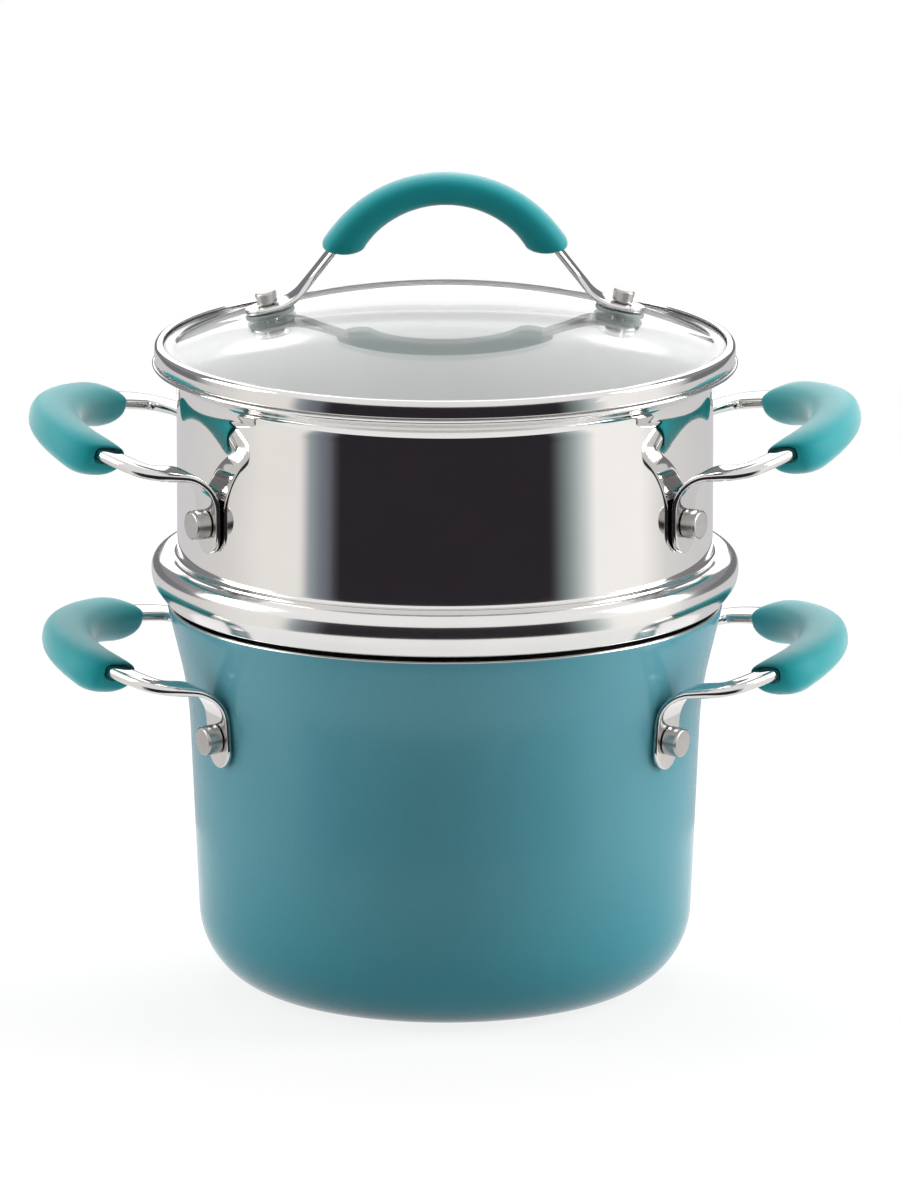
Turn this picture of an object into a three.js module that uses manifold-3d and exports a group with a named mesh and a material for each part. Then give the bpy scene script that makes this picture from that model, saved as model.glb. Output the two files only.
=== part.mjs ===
// Stacked steaming set for the stovetop: an enamelled pot with a flared rim, a polished
// steamer insert that sits on that rim, and a domed glass lid that sits on the insert.
// Millimetres, +Z up, origin at the centre of the pot's flat base, handles along X.

import * as THREE from 'three';
import { mergeVertices } from 'three/addons/utils/BufferGeometryUtils.js';
import Module from 'manifold-3d';

const wasm = await Module();
wasm.setup();

// Fits
const seatGap = 0.35; // left between two pieces that rest on each other
const hollowGap = 0.6; // left under a flat head or washer on a hollow wall
const shankGap = 0.3; // round a rivet in its hole
const boreGap = 0.4; // round the rod inside a grip
const drillPast = 5; // a cutter's run past what it cuts

// Facets
const chordError = 0.35; // about how far a facet stands off its curve
const spinSteps = 32; // sides of the round shells
const smallSteps = 8; // sides of rivets and washers
const holeSteps = 6; // sides of the floor's holes
const sectionSteps = 8; // sides of the handle rods
const gripSteps = 10; // sides of the grips
const tiny = 1e-3; // lengths and angles under this count as none

// Pot: flat base, large corner, slightly tapered wall, flared rim
const potHeight = 133;
const potRimRadius = 94.5;
const potWaistRadius = 87.2;
const potFlareHeight = 30; // from the waist up to the rim
const potWaistBend = 120;
const potFootRadius = 82.5;
const potCornerBend = 29;
const potWall = 2;

// Steamer insert: heights are from the pot's rim up
const steamerHeight = 83;
const steamerRadius = 91;
const steamerSheet = 1.2;
const lipFlare = 8.5;
const lipRise = 4;
const lipBend = 9;
const coveHeight = 22.3;
const coveBend = 6;
const beadHeight = 13;
const beadReach = 8.4;
const beadBend = 8.1;
const seatOverhang = 0.6;
const seatBend = 1.6;
const basketDepth = 25;
const basketClearance = 4;
const basketBend = 1.8;
const floorLedge = 3;
const floorThickness = 1.2;
const holeRadius = 3.2;
const holePitch = 17;
const holeRings = 4;
const holesPerRing = 5; // more in each ring than in the one inside it

// Side handles: one bent rod with flattened feet, the same on the pot and the insert
const rodRadius = 3;
const strapWidth = 14;
const strapThickness = 2;
const strapSquareness = 8;
const bendLead = 1; // of flat strap before a foot's bend
const strapTaper = 14; // from flat strap to round rod
const tipAngles = [20, 50, 90].map(THREE.MathUtils.degToRad); // facets of a foot's round end
const footSpread = 46;
const footLength = 30;
const footBend = 15;
const rivetInset = 10.2;
const shoulderBend = 10;
const shoulderLead = 5.5;
const loopRadius = 68.8;
const loopSpread = THREE.MathUtils.degToRad(52);
const loopReach = 39;
const loopTilt = THREE.MathUtils.degToRad(14);
const potRodDrop = 17.4; // of the rod below the pot's rim
const steamerRodDrop = 25.8; // of the rod below the insert's lip
const gripSpread = THREE.MathUtils.degToRad(41.5);
const gripWidth = 17.6;
const gripHeight = 12.8;
const gripOut = 2.5; // of the grip's middle beyond the rod
const gripDrop = 1.2; // of the grip's middle below the rod
const gripEnd = 4.5; // length over which an end is rounded
const gripEndScales = [0.75, 0.93, 1];
const gripSquareness = 2.4;
const roundSquareness = 2;

// Rivets of the side handles
const rivetRadius = 2.5;
const rivetHeadRadius = 5;
const rivetHeadHeight = 5.5;
const rivetHeadBend = 1.5;
const rivetTailRadius = 5;
const rivetTailHeight = 1.8;

// Lid: heights are from the underside of its rim band up
const bandSetIn = 0.9; // of the band inside the lip's edge
const bandHeight = 6.7;
const bandSheet = 1;
const bandBend = 1.6;
const bandTopLand = 3;
const bandFootLand = 7;
const glassThickness = 4;
const glassFlange = 6;
const glassFlangeBend = 10;
const domeRise = 17.2;

// Lid handle
const lidRivetReach = 59;
const lidRivetInset = 8; // from the strap's tip
const lidFootBend = 14;
const lidStrapTaper = 12;
const lidRodRadius = 2.8;
const lidStrapWidth = 15;
const lidLoopRadius = 43.4;
const lidLoopSpread = THREE.MathUtils.degToRad(52);
const lidLoopTop = 60;
const lidGripSpread = THREE.MathUtils.degToRad(60);
const lidGripWidth = 11.4;
const lidGripDepth = 15;
const lidGripIn = 0.8; // of the grip's middle inside the rod
const gasketRadius = 8.5;
const gasketThickness = 1.5;
const lidRivetRadius = 2.2;
const lidRivetHeadRadius = 3.6;
const lidRivetHeadHeight = 4;
const lidRivetTailRadius = 5.5;
const lidRivetTailHeight = 2;

// How far each loose piece is turned from square in the photographed stack
const steamerTurn = THREE.MathUtils.degToRad(1.4);
const lidTurn = THREE.MathUtils.degToRad(2.7);

const enamel = () => new THREE.MeshStandardMaterial({ color: 0x3d8591, roughness: 0.15, metalness: 0 });
const steel = () => new THREE.MeshStandardMaterial({ color: 0xd8d6d3, roughness: 0.12, metalness: 1 });
const rubber = () => new THREE.MeshStandardMaterial({ color: 0x3f9ba0, roughness: 0.6, metalness: 0 });
const clearRubber = () => new THREE.MeshStandardMaterial({ color: 0xa9b5ab, roughness: 0.4, metalness: 0 });
const glass = () => new THREE.MeshStandardMaterial({
  color: 0xe8efec,
  roughness: 0.03,
  metalness: 0,
  transparent: true,
  opacity: 0.35,
});

const lerp = THREE.MathUtils.lerp;
const up = new THREE.Vector3(0, 0, 1);

// A corner of a profile, in the plane of radius and height, rounded to a bend radius.
function corner(radius, height, bend = 0) {
  return { at: new THREE.Vector3(radius, 0, height), bend };
}

// How many facets an arc takes.
function arcSteps(radius, turn) {
  const widest = 2 * Math.acos(Math.max(0, 1 - chordError / radius));
  return Math.max(1, Math.round(turn / widest));
}

// The points and directions of a line that runs from corner to corner with rounded bends.
// Two bends that share a short leg are both limited to what the leg can hold.
function bentLine(corners) {
  const legs = corners.slice(1).map((next, i) => next.at.clone().sub(corners[i].at));
  const lengths = legs.map((leg) => leg.length());
  legs.forEach((leg) => leg.normalize());
  const turns = corners.map((c, i) => (legs[i - 1] && legs[i] ? legs[i - 1].angleTo(legs[i]) : 0));
  const cuts = corners.map((c, i) => c.bend * Math.tan(turns[i] / 2));
  const room = lengths.map((length, i) => Math.min(1, length / Math.max(cuts[i] + cuts[i + 1], tiny)));
  const line = [];
  corners.forEach((c, i) => {
    const into = legs[i - 1] ?? legs[i];
    const out = legs[i] ?? legs[i - 1];
    const cut = cuts[i] * Math.min(room[i - 1] ?? 1, room[i] ?? 1);
    if (cut < tiny) {
      const along = into.clone().add(out).normalize();
      line.push({ point: c.at.clone(), along, before: into });
      return;
    }
    const radius = cut / Math.tan(turns[i] / 2);
    const start = c.at.clone().addScaledVector(into, -cut);
    const side = out.clone().addScaledVector(into, -into.dot(out)).normalize();
    const steps = arcSteps(radius, turns[i]);
    for (let k = 0; k <= steps; k += 1) {
      const angle = (turns[i] * k) / steps;
      const point = start.clone();
      point.addScaledVector(into, radius * Math.sin(angle));
      point.addScaledVector(side, radius * (1 - Math.cos(angle)));
      const along = into.clone().multiplyScalar(Math.cos(angle)).addScaledVector(side, Math.sin(angle));
      if (line.length === 0 || line.at(-1).point.distanceTo(point) > tiny) {
        line.push({ point, along, before: along });
      }
    }
  });
  return line;
}

// A flat profile's points, as LatheGeometry takes them.
function flat(line) {
  return line.map(({ point }) => new THREE.Vector2(point.x, point.z));
}

// The same line moved to its left by a sheet's thickness, with sharp corners mitred.
function leftOf(line, thickness) {
  return line.map(({ point, along, before }) => {
    const mitre = thickness / along.dot(before);
    return new THREE.Vector2(point.x - along.z * mitre, point.z + along.x * mitre);
  });
}

// The closed outline of a bent sheet, from its outer line and its thickness to the left.
// A line that doesn't start on the axis gives an outline that closes on itself.
function sheetOutline(line, thickness) {
  const outer = flat(line);
  const inner = leftOf(line, thickness).reverse();
  const onAxis = line[0].point.x === 0;
  return onAxis ? [...outer, ...inner] : [...outer, ...inner, outer[0].clone()];
}

// The outer radius of a profile line at a height.
function radiusAt(line, height) {
  const k = line.findIndex(({ point }, i) => i > 0 && point.z >= height);
  const a = line[k - 1].point;
  const b = line[k].point;
  return lerp(a.x, b.x, (height - a.z) / (b.z - a.z));
}

function spin(outline, steps = spinSteps) {
  return new THREE.LatheGeometry(outline, steps).rotateX(Math.PI / 2);
}

function toSolid(geometry) {
  const bare = geometry.clone();
  bare.deleteAttribute('normal');
  bare.deleteAttribute('uv');
  const merged = mergeVertices(bare);
  const index = merged.index.array;
  const triVerts = [];
  for (let i = 0; i < index.length; i += 3) {
    const [a, b, c] = [index[i], index[i + 1], index[i + 2]];
    if (a !== b && b !== c && c !== a) {
      triVerts.push(a, b, c);
    }
  }
  return new wasm.Manifold(new wasm.Mesh({
    numProp: 3,
    vertProperties: merged.attributes.position.array,
    triVerts: new Uint32Array(triVerts),
  }));
}

function toGeometry(solid) {
  const { vertProperties, triVerts } = solid.getMesh();
  const geometry = new THREE.BufferGeometry();
  geometry.setAttribute('position', new THREE.BufferAttribute(vertProperties, 3));
  geometry.setIndex(new THREE.BufferAttribute(triVerts, 1));
  geometry.computeVertexNormals();
  return geometry;
}

function cut(geometry, cutters) {
  const solid = cutters.reduce((left, cutter) => left.subtract(toSolid(cutter)), toSolid(geometry));
  return toGeometry(solid);
}

// A closed skin over rings of equal point counts, capped at both ends.
function loft(rings) {
  const count = rings[0].length;
  const positions = rings.flat().flatMap((p) => [p.x, p.y, p.z]);
  const index = [];
  for (let r = 0; r + 1 < rings.length; r += 1) {
    for (let k = 0; k < count; k += 1) {
      const a = r * count + k;
      const b = r * count + ((k + 1) % count);
      index.push(a, b, b + count, a, b + count, a + count);
    }
  }
  const last = (rings.length - 1) * count;
  for (let k = 1; k + 1 < count; k += 1) {
    index.push(0, k + 1, k, last, last + k, last + k + 1);
  }
  const geometry = new THREE.BufferGeometry();
  geometry.setAttribute('position', new THREE.Float32BufferAttribute(positions, 3));
  geometry.setIndex(index);
  geometry.computeVertexNormals();
  return geometry;
}

// A ring of points round a centre: an ellipse at squareness 2, a slab with rounded edges above.
function sectionRing(centre, wide, thick, halfWidth, halfThickness, squareness, steps) {
  return Array.from({ length: steps }, (unused, k) => {
    const angle = (2 * Math.PI * k) / steps;
    const c = Math.cos(angle);
    const s = Math.sin(angle);
    const x = Math.sign(c) * Math.abs(c) ** (2 / squareness) * halfWidth;
    const y = Math.sign(s) * Math.abs(s) ** (2 / squareness) * halfThickness;
    return centre.clone().addScaledVector(wide, x).addScaledVector(thick, y);
  });
}

// A round cutter along an axis, reaching the same depth to both sides of a point.
function drill(radius, point, axis, depth) {
  const pin = new THREE.CylinderGeometry(radius, radius, 2 * depth, smallSteps).rotateX(Math.PI / 2);
  pin.applyQuaternion(new THREE.Quaternion().setFromUnitVectors(up, axis));
  return pin.translate(point.x, point.y, point.z);
}

// The loop of a handle: its centre line lies in the plane of outward and across, and an
// angle of zero is its outermost point. Past its spread the arc runs on as a straight line.
function loopOutward(loop, angle) {
  const bend = THREE.MathUtils.clamp(angle, -loop.spread, loop.spread);
  const outward = loop.outward.clone().multiplyScalar(Math.cos(bend));
  return outward.addScaledVector(loop.across, Math.sin(bend));
}

function loopDirection(loop, angle) {
  const bend = THREE.MathUtils.clamp(angle, -loop.spread, loop.spread);
  const direction = loop.outward.clone().multiplyScalar(Math.sin(bend));
  return direction.addScaledVector(loop.across, -Math.cos(bend));
}

function loopPoint(loop, angle) {
  const bend = THREE.MathUtils.clamp(angle, -loop.spread, loop.spread);
  const point = loop.centre.clone().addScaledVector(loopOutward(loop, angle), loop.radius);
  return point.addScaledVector(loopDirection(loop, angle), loop.radius * (bend - angle));
}

// The angles at which a rod and the bore of its grip both have a facet edge.
function loopAngles(loop) {
  const ends = [Math.max(loop.spread, loop.gripSpread), Math.min(loop.spread, loop.gripSpread)];
  const steps = arcSteps(loop.radius, ends[1]);
  const inside = Array.from({ length: steps }, (unused, k) => ends[1] * (1 - (k + 1) / steps));
  return [...ends, ...inside];
}

// One half of a handle's centre line, from the tip of its foot to the middle of its loop.
function halfHandleLine(footCorners, loop) {
  const angles = loopAngles(loop);
  const start = { at: loopPoint(loop, angles[0]), bend: 0 };
  const line = bentLine([...footCorners, start]);
  line.at(-1).along = loopDirection(loop, angles[0]);
  for (const angle of angles.slice(1)) {
    line.push({ point: loopPoint(loop, angle), along: loopDirection(loop, angle) });
  }
  return line;
}

// Stations along a foot: its round tip, then the end of the part that stays flat.
function footStations(tip, along, width, flatLength) {
  const round = tipAngles.map((angle) => (width / 2) * (1 - Math.cos(angle)));
  return [...round, flatLength].map((reach) => ({
    at: tip.clone().addScaledVector(along, reach),
    bend: 0,
  }));
}

// A bent rod with two flattened, round-ended feet, mirrored about the middle of its loop.
// The strap's width turns from the foot's direction to the arm's over the foot's bend.
function bentRod(line, across, wideAtFoot, wideOnArm, size) {
  let run = (size.strapWidth / 2) * (1 - Math.cos(tipAngles[0]));
  const half = line.map(({ point, along }, i) => {
    if (i > 0) {
      run += point.distanceTo(line[i - 1].point);
    }
    const wide = wideAtFoot.clone().lerp(wideOnArm, 1 - Math.max(0, along.dot(line[0].along)));
    wide.addScaledVector(along, -wide.dot(along)).normalize();
    const tipRadius = size.strapWidth / 2;
    const tipWidth = Math.sqrt(Math.max(0, tipRadius ** 2 - Math.max(0, tipRadius - run) ** 2));
    const round = THREE.MathUtils.smoothstep(run, size.flatLength, size.flatLength + size.taper);
    const halfWidth = lerp(tipWidth, size.rodRadius, round);
    const halfThickness = lerp(strapThickness / 2, size.rodRadius, round);
    const thick = along.clone().cross(wide);
    const squareness = lerp(strapSquareness, roundSquareness, round);
    return sectionRing(point, wide, thick, halfWidth, halfThickness, squareness, sectionSteps);
  });
  const mirrored = half.slice(0, -1).reverse().map((ring) => ring.map((p) => mirror(p, across)));
  return loft([...half, ...mirrored]);
}

function mirror(point, across) {
  return point.clone().addScaledVector(across, -2 * point.dot(across));
}

// A rubber grip moulded round the outer arc of a rod, with rounded ends and the rod's bore.
// The middle of its section lies out from the rod and below it by the given offsets.
function moldedGrip(loop, size) {
  const normal = loop.outward.clone().cross(loop.across);
  const bothSides = (half) => {
    const rest = half.slice(0, -1).reverse();
    return [...half, ...rest.map((station) => ({ ...station, angle: -station.angle }))];
  };
  const ring = (angle, out, drop, halfWidth, halfHeight, squareness, steps) => {
    const outward = loopOutward(loop, angle);
    const middle = loopPoint(loop, angle).addScaledVector(outward, out).addScaledVector(normal, -drop);
    return sectionRing(middle, outward, normal, halfWidth, halfHeight, squareness, steps);
  };
  const angles = loopAngles(loop);
  const rounded = gripEndScales.map((scale, k) => ({
    angle: loop.gripSpread - (gripEnd * k) / (gripEndScales.length - 1) / loop.radius,
    scale,
  }));
  const plain = angles.filter((angle) => angle < rounded.at(-1).angle - tiny);
  const stations = bothSides([...rounded, ...plain.map((angle) => ({ angle, scale: 1 }))]);
  const skin = stations.map(({ angle, scale }) => {
    const sizes = [size.out, size.drop, size.width / 2, size.height / 2].map((length) => scale * length);
    return ring(angle, ...sizes, gripSquareness, gripSteps);
  });
  const past = { angle: angles[0] + gripEnd / loop.radius };
  const through = bothSides([past, ...angles.map((angle) => ({ angle }))]);
  const hole = through.map(({ angle }) => (
    ring(angle, 0, 0, size.bore, size.bore, roundSquareness, sectionSteps)
  ));
  return cut(loft(skin), [loft(hole)]);
}

// A rivet along +Z whose zero is the face under its head, with its tail behind the stack.
function rivet(size, stack) {
  const tailTop = -stack - hollowGap;
  const outline = bentLine([
    corner(0, tailTop - size.tailHeight),
    corner(size.tailRadius, tailTop - size.tailHeight),
    corner(size.tailRadius, tailTop),
    corner(size.radius, tailTop),
    corner(size.radius, seatGap),
    corner(size.headRadius, seatGap),
    corner(size.headRadius, seatGap + size.headHeight, rivetHeadBend),
    corner(0, seatGap + size.headHeight),
  ]);
  return spin(flat(outline), smallSteps);
}

function place(geometry, material, name, parent) {
  const mesh = new THREE.Mesh(geometry, material);
  mesh.name = name;
  parent.add(mesh);
  return mesh;
}

// A side handle for a wall, in the frame of the vessel, with its loop toward +X.
// The feet lie along the wall between their tips and the start of their bends.
function sideHandle(wallAt, rodHeight) {
  const tipHeight = rodHeight - footLength;
  const topHeight = rodHeight - footBend;
  const lean = Math.atan2(wallAt(topHeight) - wallAt(tipHeight), topHeight - tipHeight);
  const rise = seatGap + strapThickness / 2;
  const seatAt = (height) => (
    wallAt(tipHeight) + (height - tipHeight) * Math.tan(lean) + rise / Math.cos(lean)
  );
  const rivetHeight = tipHeight + rivetInset * Math.cos(lean);
  const bearing = Math.asin(footSpread / seatAt(rivetHeight));
  const radial = new THREE.Vector3(Math.cos(bearing), Math.sin(bearing), 0);
  const onSeat = (height) => radial.clone().multiplyScalar(seatAt(height)).setZ(height);
  const tilt = loopTilt - lean;
  const along = Math.cos(loopSpread) * loopRadius - Math.sin(loopSpread) * shoulderLead;
  const reach = wallAt(rivetHeight) + loopReach - loopRadius * Math.cos(tilt);
  const loop = {
    centre: new THREE.Vector3(reach, 0, rodHeight - along * Math.sin(tilt)),
    outward: new THREE.Vector3(Math.cos(tilt), 0, Math.sin(tilt)),
    across: new THREE.Vector3(0, 1, 0),
    radius: loopRadius,
    spread: loopSpread,
    gripSpread,
  };
  const start = loopPoint(loop, loopSpread);
  const shoulder = start.clone().addScaledVector(loopDirection(loop, loopSpread), -shoulderLead);
  const tip = onSeat(tipHeight);
  const climb = onSeat(rodHeight).sub(tip).normalize();
  const flatLength = footLength - footBend - bendLead;
  const line = halfHandleLine([
    ...footStations(tip, climb, strapWidth, flatLength),
    { at: onSeat(rodHeight), bend: footBend },
    { at: shoulder, bend: shoulderBend },
  ], loop);
  const outFace = new THREE.Vector3(Math.cos(lean) * radial.x, Math.cos(lean) * radial.y, -Math.sin(lean));
  const rivetPoint = onSeat(rivetHeight).addScaledVector(outFace, strapThickness / 2);
  const size = { strapWidth, rodRadius, flatLength: footLength + footBend / 2, taper: strapTaper };
  const tangent = up.clone().cross(radial);
  const level = up.clone().cross(shoulder.sub(onSeat(rodHeight))).normalize();
  const standOff = (seatAt(rivetHeight) - wallAt(rivetHeight)) * Math.cos(lean) + strapThickness / 2;
  return { loop, line, tangent, level, size, rivetPoint, outFace, standOff };
}

const sideRivet = {
  radius: rivetRadius,
  headRadius: rivetHeadRadius,
  headHeight: rivetHeadHeight,
  tailRadius: rivetTailRadius,
  tailHeight: rivetTailHeight,
};

// The two rivet positions of a handle: its own and the one mirrored across the loop.
function rivetSeats(handle) {
  const { across } = handle.loop;
  return [1, -1].map((side) => ({
    point: side > 0 ? handle.rivetPoint.clone() : mirror(handle.rivetPoint, across),
    axis: side > 0 ? handle.outFace.clone() : mirror(handle.outFace, across),
  }));
}

// The holes that both side handles' rivets need in a wall.
function wallHoles(handle, sheet) {
  const depth = handle.standOff + sheet + drillPast;
  return [0, Math.PI].flatMap((turn) => rivetSeats(handle).map(({ point, axis }) => (
    drill(rivetRadius + shankGap, point, axis, depth).rotateZ(turn)
  )));
}

// Adds a pair of side handles, with their grips and rivets, to a vessel's group.
function addSideHandles(vessel, name, handle, sheet) {
  const { loop } = handle;
  const holes = rivetSeats(handle).map(({ point, axis }) => (
    drill(rivetRadius + shankGap, point, axis, strapThickness + drillPast)
  ));
  const rod = bentRod(handle.line, loop.across, handle.tangent, handle.level, handle.size);
  const grip = moldedGrip(loop, {
    width: gripWidth,
    height: gripHeight,
    out: gripOut,
    drop: gripDrop,
    bore: rodRadius + boreGap,
  });
  const pin = rivet(sideRivet, handle.standOff + sheet);
  [['right', 0], ['left', Math.PI]].forEach(([side, turn]) => {
    const pair = new THREE.Group();
    pair.rotation.z = turn;
    vessel.add(pair);
    place(cut(rod, holes), steel(), `${name}_handle_rod_${side}`, pair);
    place(grip, rubber(), `${name}_handle_grip_${side}`, pair);
    rivetSeats(handle).forEach(({ point, axis }, k) => {
      const mesh = place(pin, steel(), `${name}_rivet_${side}_${k + 1}`, pair);
      mesh.position.copy(point);
      mesh.quaternion.setFromUnitVectors(up, axis);
    });
  });
}

const set = new THREE.Group();

// Pot
const potLine = bentLine([
  corner(0, 0),
  corner(potFootRadius, 0, potCornerBend),
  corner(potWaistRadius, potHeight - potFlareHeight, potWaistBend),
  corner(potRimRadius, potHeight),
]);
const pot = new THREE.Group();
set.add(pot);
const potHandle = sideHandle((height) => radiusAt(potLine, height), potHeight - potRodDrop);
const potOutline = sheetOutline(potLine, potWall);
place(cut(spin(potOutline), wallHoles(potHandle, potWall)), enamel(), 'pot_body', pot);
addSideHandles(pot, 'pot', potHandle, potWall);

// Steamer insert: its pressed shell is divided on its upright parts into a basket, a bead that
// sits on the pot's rim, a wall and a lip
const steamer = new THREE.Group();
steamer.position.z = potHeight;
steamer.rotation.z = steamerTurn;
set.add(steamer);
const seatHeight = Math.max(...potOutline.map(({ y }) => y)) - potHeight + seatGap;
const basketRadius = radiusAt(potLine, potHeight - basketDepth) - potWall - basketClearance;
const basketTop = seatHeight - 2 * basketBend;
const wallFoot = coveHeight + coveBend;
const wallTop = steamerHeight - lipRise - lipBend;
const basketLine = bentLine([
  corner(basketRadius - floorLedge, -basketDepth),
  corner(basketRadius, -basketDepth, basketBend),
  corner(basketRadius, basketTop),
]);
const beadLine = bentLine([
  corner(basketRadius, basketTop + seatGap),
  corner(basketRadius, seatHeight, basketBend),
  corner(potRimRadius + seatOverhang, seatHeight, seatBend),
  corner(potRimRadius + beadReach, beadHeight, beadBend),
  corner(steamerRadius, coveHeight, coveBend),
  corner(steamerRadius, wallFoot),
]);
const wallLine = bentLine([
  corner(steamerRadius, wallFoot + seatGap),
  corner(steamerRadius, wallTop),
]);
const lipLine = bentLine([
  corner(steamerRadius, wallTop + seatGap),
  corner(steamerRadius, steamerHeight - lipRise, lipBend),
  corner(steamerRadius + lipFlare, steamerHeight),
]);
const steamerHandle = sideHandle(() => steamerRadius, steamerHeight - steamerRodDrop);
const steamerShell = (line) => spin(sheetOutline(line, steamerSheet));
const steamerWall = cut(steamerShell(wallLine), wallHoles(steamerHandle, steamerSheet));
place(steamerShell(basketLine), steel(), 'steamer_basket', steamer);
place(steamerShell(beadLine), steel(), 'steamer_bead', steamer);
place(steamerWall, steel(), 'steamer_wall', steamer);
place(steamerShell(lipLine), steel(), 'steamer_lip', steamer);
addSideHandles(steamer, 'steamer', steamerHandle, steamerSheet);

// Perforated floor: a disc on the basket's ledge, with rings of round holes
function circlePoints(radius, steps, x = 0, y = 0) {
  return Array.from({ length: steps }, (unused, k) => {
    const angle = (2 * Math.PI * k) / steps;
    return new THREE.Vector2(x + radius * Math.cos(angle), y + radius * Math.sin(angle));
  });
}

function perforatedFloor() {
  const radius = basketRadius - steamerSheet - seatGap;
  const shape = new THREE.Shape(circlePoints(radius, spinSteps));
  for (let ring = 0; ring <= holeRings; ring += 1) {
    const count = Math.max(1, holesPerRing * ring);
    for (let k = 0; k < count; k += 1) {
      const angle = (2 * Math.PI * k) / count;
      const reach = ring * holePitch;
      const [x, y] = [reach * Math.cos(angle), reach * Math.sin(angle)];
      shape.holes.push(new THREE.Path(circlePoints(holeRadius, holeSteps, x, y)));
    }
  }
  return new THREE.ExtrudeGeometry(shape, { depth: floorThickness, bevelEnabled: false });
}
const floorMesh = place(perforatedFloor(), steel(), 'steamer_floor', steamer);
floorMesh.position.z = -basketDepth + steamerSheet + seatGap;

// Lid: the round foot of its rim band rests on the sloping inside of the insert's lip
const bandRadius = steamerRadius + lipFlare - bandSetIn;
const lipSlope = Math.atan2(lipRise, lipFlare);
const lipEdge = leftOf(lipLine, steamerSheet).at(-1);
const bandFootIn = (bandRadius - bandBend - lipEdge.x) * Math.sin(lipSlope);
const lidSeat = lipEdge.y - bandBend + (bandBend + seatGap + bandFootIn) / Math.cos(lipSlope);
const lid = new THREE.Group();
lid.position.z = potHeight + lidSeat;
lid.rotation.z = lidTurn;
set.add(lid);

const bandLine = bentLine([
  corner(bandRadius - bandFootLand, 0),
  corner(bandRadius, 0, bandBend),
  corner(bandRadius, bandHeight, bandBend),
  corner(bandRadius - bandTopLand, bandHeight),
]);
place(spin(sheetOutline(bandLine, bandSheet)), steel(), 'lid_rim_band', lid);

const glassRadius = bandRadius - bandSheet - seatGap;
const glassFoot = bandSheet + seatGap;
const domeSpan = glassRadius - glassFlange;
const domeRadius = (domeSpan ** 2 + domeRise ** 2) / (2 * domeRise);
const domeSlope = Math.asin(domeSpan / domeRadius);
const domeTop = glassFoot + domeRise;
const glassLine = bentLine([
  corner(0, domeTop),
  corner(domeRadius * Math.tan(domeSlope / 2), domeTop, domeRadius),
  corner(domeSpan, glassFoot, glassFlangeBend),
  corner(glassRadius, glassFoot),
]);
const glassTop = leftOf(glassLine, glassThickness).reverse();
const lidRivetSlope = Math.asin(lidRivetReach / (domeRadius + glassThickness));
const lidAxis = new THREE.Vector3(Math.sin(lidRivetSlope), 0, Math.cos(lidRivetSlope));
const glassTopLine = glassTop.map(({ x, y }) => ({ point: new THREE.Vector3(x, 0, y) })).reverse();

function heightAt(line, radius) {
  const k = line.findIndex(({ point }, i) => i > 0 && point.x >= radius);
  const a = line[k - 1].point;
  const b = line[k].point;
  return lerp(a.z, b.z, (radius - a.x) / (b.x - a.x));
}
const glassHeight = heightAt(glassTopLine, lidRivetReach) + chordError;
const glassPoint = new THREE.Vector3(lidRivetReach, 0, glassHeight);
const lidAcross = new THREE.Vector3(1, 0, 0);
const lidSeats = [1, -1].map((side) => ({
  point: side > 0 ? glassPoint : mirror(glassPoint, lidAcross),
  axis: side > 0 ? lidAxis : mirror(lidAxis, lidAcross),
  name: side > 0 ? 'right' : 'left',
}));
const glassHoles = lidSeats.map(({ point, axis }) => (
  drill(lidRivetRadius + shankGap, point, axis, glassThickness + drillPast)
));
const glassShell = spin([...flat(glassLine), ...glassTop]);
place(cut(glassShell, glassHoles), glass(), 'lid_glass', lid);

// Lid handle: one bent rod in the plane of X and Z, its feet tangent to the dome
const strapBase = seatGap + gasketThickness + seatGap;
const lidFoot = glassPoint.clone().addScaledVector(lidAxis, strapBase + strapThickness / 2);
const outAlong = new THREE.Vector3(Math.cos(lidRivetSlope), 0, -Math.sin(lidRivetSlope));
const lidTip = lidFoot.clone().addScaledVector(outAlong, lidRivetInset);
const lidLoop = {
  centre: new THREE.Vector3(0, 0, lidLoopTop - lidLoopRadius),
  outward: up.clone(),
  across: lidAcross,
  radius: lidLoopRadius,
  spread: lidLoopSpread,
  gripSpread: lidGripSpread,
};
const lidLoopStart = loopPoint(lidLoop, lidLoopSpread);
const lidLeg = loopDirection(lidLoop, lidLoopSpread).negate();
const legRun = lidLoopStart.clone().sub(lidFoot).dot(lidAxis) / -lidLeg.dot(lidAxis);
const lidKnee = lidLoopStart.clone().addScaledVector(lidLeg, legRun);
const kneeReach = lidTip.distanceTo(lidKnee);
const lidFlatLength = kneeReach - lidFootBend / 2;
const lidLine = halfHandleLine([
  ...footStations(lidTip, outAlong.clone().negate(), lidStrapWidth, lidFlatLength),
  { at: lidKnee, bend: lidFootBend },
], lidLoop);
const lidRodSize = {
  strapWidth: lidStrapWidth,
  rodRadius: lidRodRadius,
  flatLength: kneeReach,
  taper: lidStrapTaper,
};
const strapTop = strapBase + strapThickness;
const strapHoles = lidSeats.map(({ point, axis }) => (
  drill(lidRivetRadius + shankGap, point, axis, strapTop + drillPast)
));
const lidWide = new THREE.Vector3(0, 1, 0);
const lidRod = bentRod(lidLine, lidAcross, lidWide, lidWide, lidRodSize);
place(cut(lidRod, strapHoles), steel(), 'lid_handle_rod', lid);
const lidGrip = moldedGrip(lidLoop, {
  width: lidGripWidth,
  height: lidGripDepth,
  out: -lidGripIn,
  drop: 0,
  bore: lidRodRadius + boreGap,
});
place(lidGrip, rubber(), 'lid_handle_grip', lid);

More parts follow.
